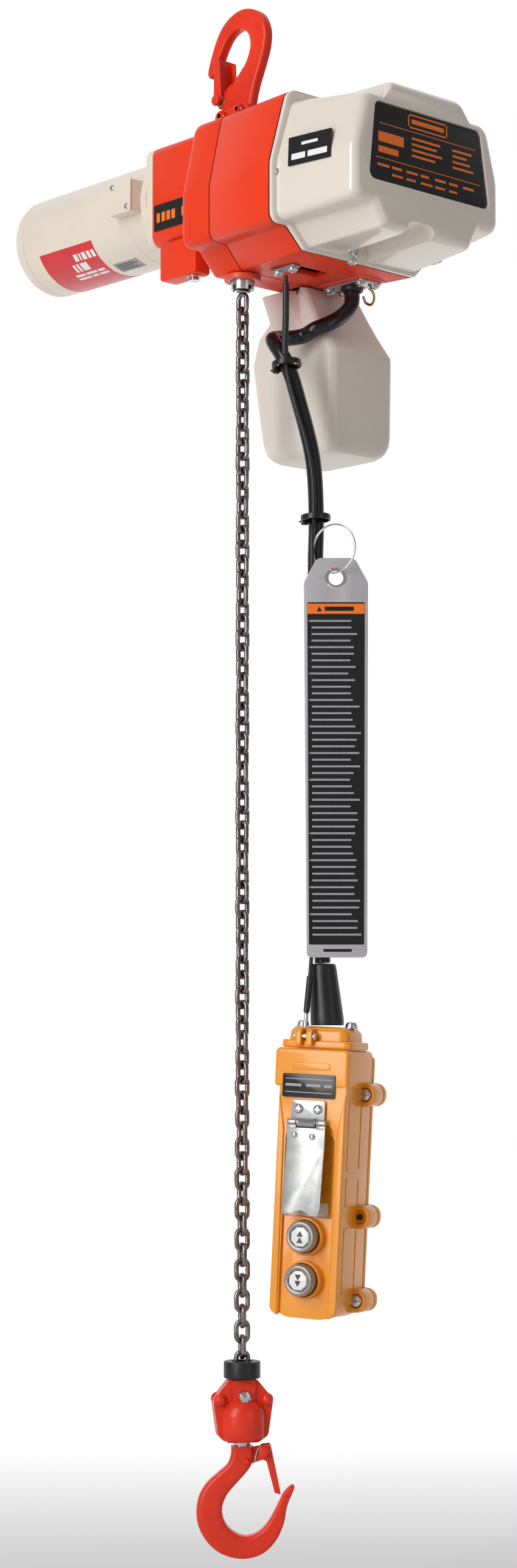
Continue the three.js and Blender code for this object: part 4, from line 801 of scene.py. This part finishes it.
# ---------- control cable and strain wire ----------
CABLE_ROUTE = [
    (43, 83, -211.6), (43, 83, -219.5), (43.2, 80.8, -226), (43.4, 72.5, -234), (42.8, 60.2, -242),
    (34.8, 49.4, -248), (23, 47, -252), (15, 39, -254), (12.5, 30, -255), (14.5, 22, -257),
    (19.5, 15.5, -260), (26, 12, -265.5), (33, 11, -273), (39.5, 12, -283.5), (43.5, 15, -297),
    (46.5, 19.5, -316), (50, 24, -337), (53.5, 27, -358), (56, 28, -380), (59, 26.5, -415),
    (61, 23.5, -450), (65, 20, -509), (70, 16, -583), (76, 12, -656), (81, 9, -719), (85.2, 7.4, -767.1),
]
WIRE_ROUTE = [
    (45, 6.5, -213), (45.3, 6, -245), (45.5, 5.5, -284), (51, 10, -316), (58, 17.5, -352),
    (62.5, 19.5, -380), (65.6, 17.6, -414), (68.1, 13.6, -427), (68.5, 13, -452), (71.5, 10.5, -509),
    (76, 7, -583), (82, 3, -656), (85.5, -1, -719), (87.5, -7.5, -770), (88.9, -12.7, -800),
    (89.2, -15.2, -817.6),
]


def free_cord(name, route, radius, material, node):
    line = spline(route, 260)
    cord = piece(name, tube(line, radius, 18), material, "black_rubber", replaces=[node])
    return line


free_cord("cable_control", CABLE_ROUTE, 6.3, CABLE, "control_cable")
wire_line = free_cord("cable_strain_wire", WIRE_ROUTE, 1.5, RUBBER, "strain_wire")
for name, low, high, radius in (("", -279, -219, 2.7), ("_low", -806, -776, 2.4)):
    piece(f"cable_wire_sleeve{name}", tube([p for p in wire_line if low < p[2] < high], radius, 14), RUBBER,
          "black_rubber", bevel=0.3)
piece("cable_wire_bare", tube([p for p in wire_line if p[2] < -806], 1.6, 10), STEEL, "steel")


def cable_tie(name, node, x, y, z, tilt):
    place = at(x, y, z) @ Matrix.Rotation(tilt, 4, "Y")
    band = ring("z", 10.7, 12.0, -2.3, 2.3, count=56)
    lock = box(-14.6, -11.2, -2.6, 2.6, -3.3, 3.3)
    tail = box(-17.6, -14.2, -2.0, 2.0, -0.7, 0.7)
    piece(name, merge(band, lock, tail), NYLON, "black_nylon", bevel=0.5, place=place, replaces=[node])


cable_tie("tie_upper", "cable_tie_upper", 41.8, 10.1, -285, -0.15)
cable_tie("tie_lower", "cable_tie_lower", 60.7, 24.2, -411, -0.05)
boot_line = [(89.3, 8.6, -815.9, 12.7), (89.2, 8.55, -812, 13), (88.7, 8.4, -806, 12.7), (87.4, 8, -792, 11.9),
             (86.1, 7.7, -778, 11), (85.5, 7.5, -770, 10.3), (85.3, 7.45, -768, 9.2)]
boot = [[(x + r * math.cos(a), y + r * math.sin(a), z) for a in (2 * math.pi * k / 40 for k in range(40))]
        for x, y, z, r in spline(boot_line, 30)]
piece("boot_sleeve", loft(boot), RUBBER, "black_rubber", bevel=0.5, replaces=["cable_boot"])

# ---------- tag ----------
TAG = at(86, 22.1, -458.4) @ Matrix.Rotation(HOOK_TURN, 4, "Z") @ Matrix.Rotation(-math.radians(4.5), 4, "X")
tag_outline = rounded([(-24, -306, 4), (23, -306, 4), (25.5, -8, 7), (15, 12, 6), (-15, 12, 6), (-25.5, -8, 7)], 5)
piece("tag_laminate", prism("y", tag_outline, -0.42, 0.42), TAG_EDGE, "tag_sheet", body="tag", bevel=0.3,
      segments=2, place=TAG, replaces=["tag"], cuts=[rod("y", 6.5, -3, 3, (0, 0, -4.5), 40)])
piece("tag_panel", prism("y", rounded([(-22.2, -296, 1), (20.6, -296, 1), (22.8, -24, 1), (-22.8, -24, 1)], 2),
                         -0.5, -0.40), TAG_FACE, "tag_sheet", body="tag", place=TAG)
piece("tag_band", prism("y", [(-22.6, -33.4), (22.5, -33.4), (22.6, -25.2), (-22.6, -25.2)], -0.6, -0.48),
      PRINT_ORANGE, "tag_sheet", body="tag", place=TAG)
marks("tag_band_marks", [(-9, 14, -31, -27.6)], "y", -0.7, 0.12, PRINT_BLACK, "tag_sheet", body="tag", place=TAG)
piece("tag_band_sign", prism("y", [(-15.2, -31.4), (-11.2, -31.4), (-13.2, -27.4)], -0.7, -0.58), PRINT_BLACK,
      "tag_sheet", body="tag", place=TAG)
# plain bars of uneven length, with a small mark before every fourth one
ROW_TOP, ROW_STEP, ROW_COUNT = -38.0, 5.3, 48
rows = []
z = ROW_TOP
for row in range(ROW_COUNT):
    first = row % 4 == 0
    left = -21 if first else -19.4
    rows.append((left, min(left + 30 + 9 * random.random(), 19.5), z - 1.9, z - 0.4))
    if first:
        rows.append((-22.1, -21.5, z - 1.4, z - 0.8))
    z -= ROW_STEP
marks("tag_lines", rows, "y", -0.62, 0.12, PRINT_GREY, "tag_sheet", body="tag", place=TAG)
marks("tag_foot_mark", [(-11, 11, -301.6, -299.4)], "y", -0.55, 0.12, PRINT_BLACK, "tag_sheet", body="tag",
      place=TAG)
eyelet = turned("y", [(-1.3, 6.0), (-1.3, 7.6), (-0.5, 8.6), (0.5, 8.6), (1.3, 7.6), (1.3, 6.0), (0, 5.6)],
                (0, 0, -4.5), 48, closed=True)
piece("tag_eyelet", eyelet, CHROME, "bright_ring", body="tag", place=TAG)
RING = at(84.3, 21.7, -439) @ Matrix.Rotation(HOOK_TURN - math.radians(32.8), 4, "Z")
loop = circle(19.5, 96)
for name, y, nodes in (("", 0.55, ["tag_ring"]), ("_turn", -0.55, [])):
    piece(f"tag_split_ring{name}", tube([(x, y, z) for x, z in loop], 0.62, 10, closed=True), CHROME, "bright_ring",
          place=RING, replaces=nodes)

# ---------- pendant ----------
PENDANT = Matrix(((0.92315, -0.38302, 0.03300, 88.8), (0.38189, 0.92351, 0.03602, 8.1),
                  (-0.04427, -0.02064, 0.99881, -830), (0, 0, 0, 1)))


def pendant(name, shape, material, slot="yellow_pendant", **keywords):
    return piece(f"pendant_{name}", shape, material, slot, place=PENDANT, **keywords)


# cap: foot, tower, clevis
cap_bore = rod("z", 9.6, -8, 30, count=48)
pendant("cap_foot", prism("z", rectangle(-30, 29, -21, 20, 6), -4, 2), YELLOW, bevel=1.4, cuts=[cap_bore],
        replaces=["pendant_cap"])
tower = []
for z, x0, x1, y, r in ((1, -26, 25, 18, 7), (9, -25.2, 24.2, 17.4, 7), (12.2, -22.5, 21.5, 15, 6),
                        (13, -19, 18, 12, 5)):
    tower.append([(u, v, z) for u, v in rectangle(x0, x1, -y, y, r, 6)])
pendant("cap_tower", loft(tower), YELLOW, bevel=0.8, cuts=[cap_bore])
for k, x in enumerate((-20.5, 20.5)):
    top = (x, 0, 12.6)
    dome = [(t, r) for t, r in ((0, 5.6), (0.8, 5.6), (0.9, 4.7), (2.6, 4.7), (4.4, 3.6), (4.9, 2))]
    pendant(f"cap_screw_{k}", turned("z", dome, top, 32), STEEL, "steel",
            cuts=[box(x - 3, x + 3, -0.6, 0.6, 15.9, 19), box(x - 0.6, x + 0.6, -3, 3, 15.9, 19)])
ear_outline = rounded([(-26, -2, 1), (-17, -2, 1), (-17, 11, 1), (-26, 11, 4.5)], 5)
pendant("clevis_ears", merge(prism("x", ear_outline, -15.4, -10.6), prism("x", ear_outline, -6.4, -1.6)), YELLOW,
        bevel=0.6)
pin = merge(rod("x", 2, -16.6, -0.4, (0, -22.5, 5), 24), rod("x", 3, -17.4, -15.6, (0, -22.5, 5), 28),
            prism("x", circle(3.3, 6, -22.5, 5), -1.5, 0.9))
pendant("clevis_pin", pin, STEEL, "steel", bevel=0.3, segments=2)

# front case: head, body with side rails, arched recess and a round foot
head_outline = rounded([(-32, -34, 3), (30, -34, 3), (30, -4.3, 4), (-32, -4.3, 4)], 5)
BACK_FACE = 24
body_outline = rounded([(-27, -210, 16), (29, -210, 16), (29, -30, 0), (-27, -30, 0)], 8)
arch = rounded([(-19, -133, 1.5), (21, -133, 1.5), (21, -65.5, 14), (-19, -65.5, 14)], 7)
channel = rounded([(-20, -225, 0), (21.6, -225, 0), (21.6, -60, 14), (-20, -60, 14)], 7)
case_cuts = [prism("y", arch, -40, -17.9), prism("y", channel, -40, -21.4)]
for z in (-147.5, -180.5):
    case_cuts.append(rod("y", 9, -40, -15, (1, 0, z), 48))
pendant("case_head", prism("y", head_outline, -25, BACK_FACE), YELLOW, bevel=2.6, segments=5,
        replaces=["pendant_case"])
rail_left = rounded([(-26.9, -205, 5.5), (-20.5, -209, 0), (-21.5, -66, 12), (-26.9, -38, 0)], 6)
rail_right = rounded([(22.8, -66, 12), (21.8, -209, 0), (28.9, -205, 5.5), (28.9, -38, 0)], 6)
pendant("case_body", prism("y", body_outline, -24.2, BACK_FACE), YELLOW, bevel=1.5, segments=5, cuts=case_cuts)
pendant("case_rails", merge(prism("y", rail_left, -25.4, -20), prism("y", rail_right, -25.4, -20)), YELLOW,
        bevel=1.1, segments=4)
# collars moulded round the two buttons
collars = merge(*[ring("y", 12.6, 14.6, -28, -20, (1, 0, z), 64) for z in (-147.5, -180.5)])
pendant("case_collars", collars, YELLOW, bevel=1.0, segments=4)
for k, z in enumerate((-38, -132, -196)):
    for m, (x, way) in enumerate(((-29, -1), (31.5, 1))):
        ear = rounded([(x + way * 8.4, z - 8.4, 8), (x + way * 8.4, z + 8.4, 8), (x - way * 8, z + 9.6, 2),
                       (x - way * 8, z - 9.6, 2)], 8)
        hollow = rod("y", 5.4, 2, 9, (x, 0, z), 32)
        pendant(f"lug_{k}{m}", prism("y", ear, 6, BACK_FACE - 0.1), YELLOW, bevel=1.3, segments=4, cuts=[hollow])
        pendant(f"lug_back_{k}{m}", prism("y", ear, BACK_FACE + 0.35, 31), YELLOW, bevel=1.3, segments=4)
        if k != 1:
            dome = [(8.8, 5), (7.4, 5), (6.2, 4.2), (5.6, 2.8)]
            pendant(f"lug_screw_{k}{m}", turned("y", dome, (x, 0, z), 28), STEEL, "steel",
                    cuts=[box(x - 3.2, x + 3.2, 3, 6.9, z - 0.6, z + 0.6),
                          box(x - 0.6, x + 0.6, 3, 6.9, z - 3.2, z + 3.2)])
        else:
            pendant(f"lug_bush_{k}{m}", rod("y", 2.2, 6.6, 9.4, (x, 0, z), 32), NYLON, "black_nylon")
back_outline = rounded([(-27, -209, 15), (29, -209, 15), (29, -8, 4), (-27, -8, 4)], 8)
pendant("back_cover", prism("y", back_outline, 24.35, 33), YELLOW, bevel=3.4, segments=6,
        replaces=["pendant_back"])
# recessed panels and ribs on the two narrow sides
for name, x0, x1 in (("right", 28.4, 29.5), ("left", -27.5, -26.4)):
    frame_ribs = []
    for z0, z1 in ((-96, -42), (-124, -102), (-190, -140)):
        frame_ribs += [prism("x", rectangle(a, b, c, d, 0.4), x0, x1) for a, b, c, d in
                       ((-17, -15.6, z0, z1), (6.6, 8, z0, z1), (-17, 8, z0, z0 + 1.4), (-17, 8, z1 - 1.4, z1))]
    pendant(f"side_ribs_{name}", merge(*frame_ribs), YELLOW, bevel=0.3, segments=2)
# plain raised bar above the label
pendant("case_bar", prism("y", rectangle(-17, 15, -20.6, -15.2, 2.6), -25.7, -24.6), YELLOW, bevel=0.4)

pendant("label_plate", prism("y", rectangle(-24, 20, -42, -24, 1.2), -26.1, -25.3), PRINT_BLACK, "black_plate",
        bevel=0.2)
pendant_lines = [(-21.5, 17.5, -28.2, -27.5), (-21.5, 17.5, -38.4, -37.7), (-21.5, -8, -33.6, -31.6),
                 (-4, 8, -33.6, -31.6), (11, 17.5, -33.6, -31.6)]
marks("pendant_label_lines", pendant_lines, "y", -26.1, -0.12, PRINT_GREY, "black_plate", place=PENDANT)

# hinge leaf, screws and barrel
pendant("hinge_leaf", prism("y", rounded([(-15, -58.5, 1), (13, -58.5, 1), (13, -44, 2), (-15, -44, 2)], 4),
                            -26.8, -25.4), ZINC, "galvanised", bevel=0.3, segments=2, replaces=["hinge_leaf"])
for k, x in enumerate((-9, 7)):
    dome = [(-26.8, 3.7), (-27.8, 3.6), (-28.8, 2.9), (-29.3, 1.6)]
    pendant(f"hinge_screw_{k}", turned("y", dome, (x, 0, -50.6), 28), STEEL, "steel",
            cuts=[box(x - 2.3, x + 2.3, -31, -28.4, -51.05, -50.15), box(x - 0.45, x + 0.45, -31, -28.4, -52.9,
                                                                        -48.3)])
HINGE = (0, -28.2, -61)
pendant("hinge_barrel", merge(rod("x", 2.6, -8.9, 6.9, HINGE, 28), rod("x", 1.2, -17.4, 15.4, HINGE, 18),
                              box(-8.9, 6.9, -26.7, -25.5, -61, -57)), ZINC, "galvanised", bevel=0.2, segments=2)
coil = [(-8.2 + 14 * k / 220, -28.2 + 3.2 * math.cos(k * 0.45), -61 + 3.2 * math.sin(k * 0.45)) for k in range(221)]
pendant("hinge_spring", tube(coil, 0.45, 8), STEEL, "galvanised")

# guard plate
guard_side = rounded([(-29.4, -80, 3), (-33.6, -131.5, 0), (-32.3, -131.5, 0), (-28.1, -80, 2), (-28.1, -65, 0),
                      (-29.4, -65, 0)], 4)
notch = rod("y", 9, -50, -20, (-1, 0, -137), 48)
trims = [prism("y", [(-18, -139), (-12.4, -139), (-17.6, -126)], -50, -20),
         prism("y", [(16, -139), (10.4, -139), (15.6, -126)], -50, -20)]
pendant("guard_plate", prism("x", guard_side, -17, 15), ZINC, "galvanised", body="guard", bevel=0.35, segments=2,
        cuts=[notch] + trims, replaces=["guard"])
pendant("guard_knuckles", merge(rod("x", 2.6, -17, -9.5, HINGE, 28), rod("x", 2.6, 7.5, 15, HINGE, 28),
                                box(-17, -9.5, -29.5, -28.1, -66, -61), box(7.5, 15, -29.5, -28.1, -66, -61)),
        ZINC, "galvanised", body="guard", bevel=0.2, segments=2)
for k, (x, z) in enumerate(((-10.5, -70.5), (4.5, -71.5))):
    dome = [(-29.3, 2.5), (-30.2, 2.4), (-30.9, 1.6), (-31.1, 0.5)]
    pendant(f"guard_rivet_{k}", turned("y", dome, (x, 0, z), 24), STEEL, "galvanised", body="guard")
pendant("recess_label", prism("y", rectangle(-13.5, 15.5, -131.8, -122, 1), -18.2, -17.8), LABEL_CREAM,
        "yellow_pendant")
marks("pendant_recess_lines", [(-8, -2, -129.5, -128.7), (1, 9, -129.5, -128.7), (-8, 6, -127.2, -126.4)], "y",
      -18.2, -0.1, PRINT_BLACK, "yellow_pendant", place=PENDANT)

# speed dials under the guard
for name, z in (("high", -90), ("low", -116)):
    knob = turned("y", [(-18.1, 6.9), (-22.4, 6.9), (-23.6, 6.2), (-24.2, 5)], (1, 0, z), 40)
    pendant(f"dial_{name}", knob, NYLON, "black_nylon", body=f"speed_dial_{name}", replaces=[f"speed_dial_{name}"],
            cuts=[box(-4.6, 6.6, -26, -23.3, z - 0.6, z + 0.6)])

# push buttons: clear ring, white cap, a printed double arrow
for name, z, up in (("up", -147.5, 1), ("down", -180.5, -1)):
    body = f"{name}_button"
    crown = turned("y", [(-29.7, 7.9), (-29.7, 12.2), (-34.4, 12.2), (-36.2, 11.2), (-36.5, 10), (-36.0, 8.3),
                         (-34.6, 7.9)], (1, 0, z), 56, closed=True)
    pendant(f"button_{name}_ring", crown, BUTTON_RING, "button", body=body, replaces=[body])
    centre = prism("y", circle(8.1, 8, 1, z, math.pi / 8), -36.1, -29.9)
    pendant(f"button_{name}_cap", centre, BUTTON_WHITE, "button", body=body, bevel=1.0, segments=3)
    pendant(f"button_{name}_stem", rod("y", 7.6, -30.4, -23, (1, 0, z), 40), NYLON, "button", body=body)
    arrows = []
    for step in (-4.6, 0.2):
        base, tip = z + up * step, z + up * (step + 4.4)
        arrows.append(prism("y", [(-1.6, base), (1, tip), (3.6, base)], -36.3, -36.05))
    pendant(f"button_{name}_arrow", merge(*arrows), PRINT_BLACK, "button", body=body, smooth=False)

# ---------- light, backdrop, camera picture ----------
scene = bpy.context.scene
scene.view_settings.view_transform = "Standard"
world = bpy.data.worlds.new("studio")
scene.world = world
world.use_nodes = True
# the room is bright behind the object and dimmer on the camera's side
ROOM_REACH, ROOM_STRENGTH = (0.1, 0.75), (0.27, 1.0)
sky = world.node_tree.nodes["Background"]
sky.inputs["Color"].default_value = (1.0, 1.0, 1.0, 1)
strength = map_range(world.node_tree, along_away(world.node_tree, "Generated"), ROOM_REACH, ROOM_STRENGTH, "SMOOTHSTEP")
world.node_tree.links.new(strength, sky.inputs["Strength"])


def softbox(name, place, target, size, power):
    data = bpy.data.lights.new(name, "AREA")
    data.shape = "RECTANGLE"
    data.size, data.size_y = size
    data.energy = power
    light = bpy.data.objects.new(name, data)
    light.location = place
    light.rotation_euler = (Vector(target) - Vector(place)).to_track_quat("-Z", "Y").to_euler()
    scene.collection.objects.link(light)


middle = Vector((0, 0.02, -0.55))
# name, place, target, size in metres, watts
softbox("key", middle - AWAY * 1.7 - RIGHT * 1.4 + Vector((0, 0, 0.6)), middle, (0.9, 2.4), 41)
softbox("fill", middle - AWAY * 1.8 + RIGHT * 1.7 + Vector((0, 0, 0.1)), middle, (0.8, 1.8), 4)
softbox("top", middle + Vector((0, 0, 1.9)), (0, 0.02, -0.2), (1.4, 1.4), 4)

# the floor glows softly where it runs away from the camera, so that it fades into the room
FLOOR_REACH, FLOOR_GLOW = (-0.1, 1.6), (0, 0.75)
floor = build_mesh("floor", box(-6000, 6000, -6000, 6000, -1312, -1302))
floor_obj = bpy.data.objects.new("floor", floor)
scene.collection.objects.link(floor_obj)
PALE = finish("studio_white", (0.70, 0.70, 0.70), 0.9, spread=0.01, scale=2, grain=40, bump=0.01, spec=0.05)
pale_shader = PALE.node_tree.nodes["Principled BSDF"]
glow = map_range(PALE.node_tree, along_away(PALE.node_tree, "Object"), FLOOR_REACH, FLOOR_GLOW, "SMOOTHSTEP")
PALE.node_tree.links.new(glow, pale_shader.inputs["Emission Strength"])
pale_shader.inputs["Emission Color"].default_value = (1, 1, 1, 1)
floor.materials.append(PALE)
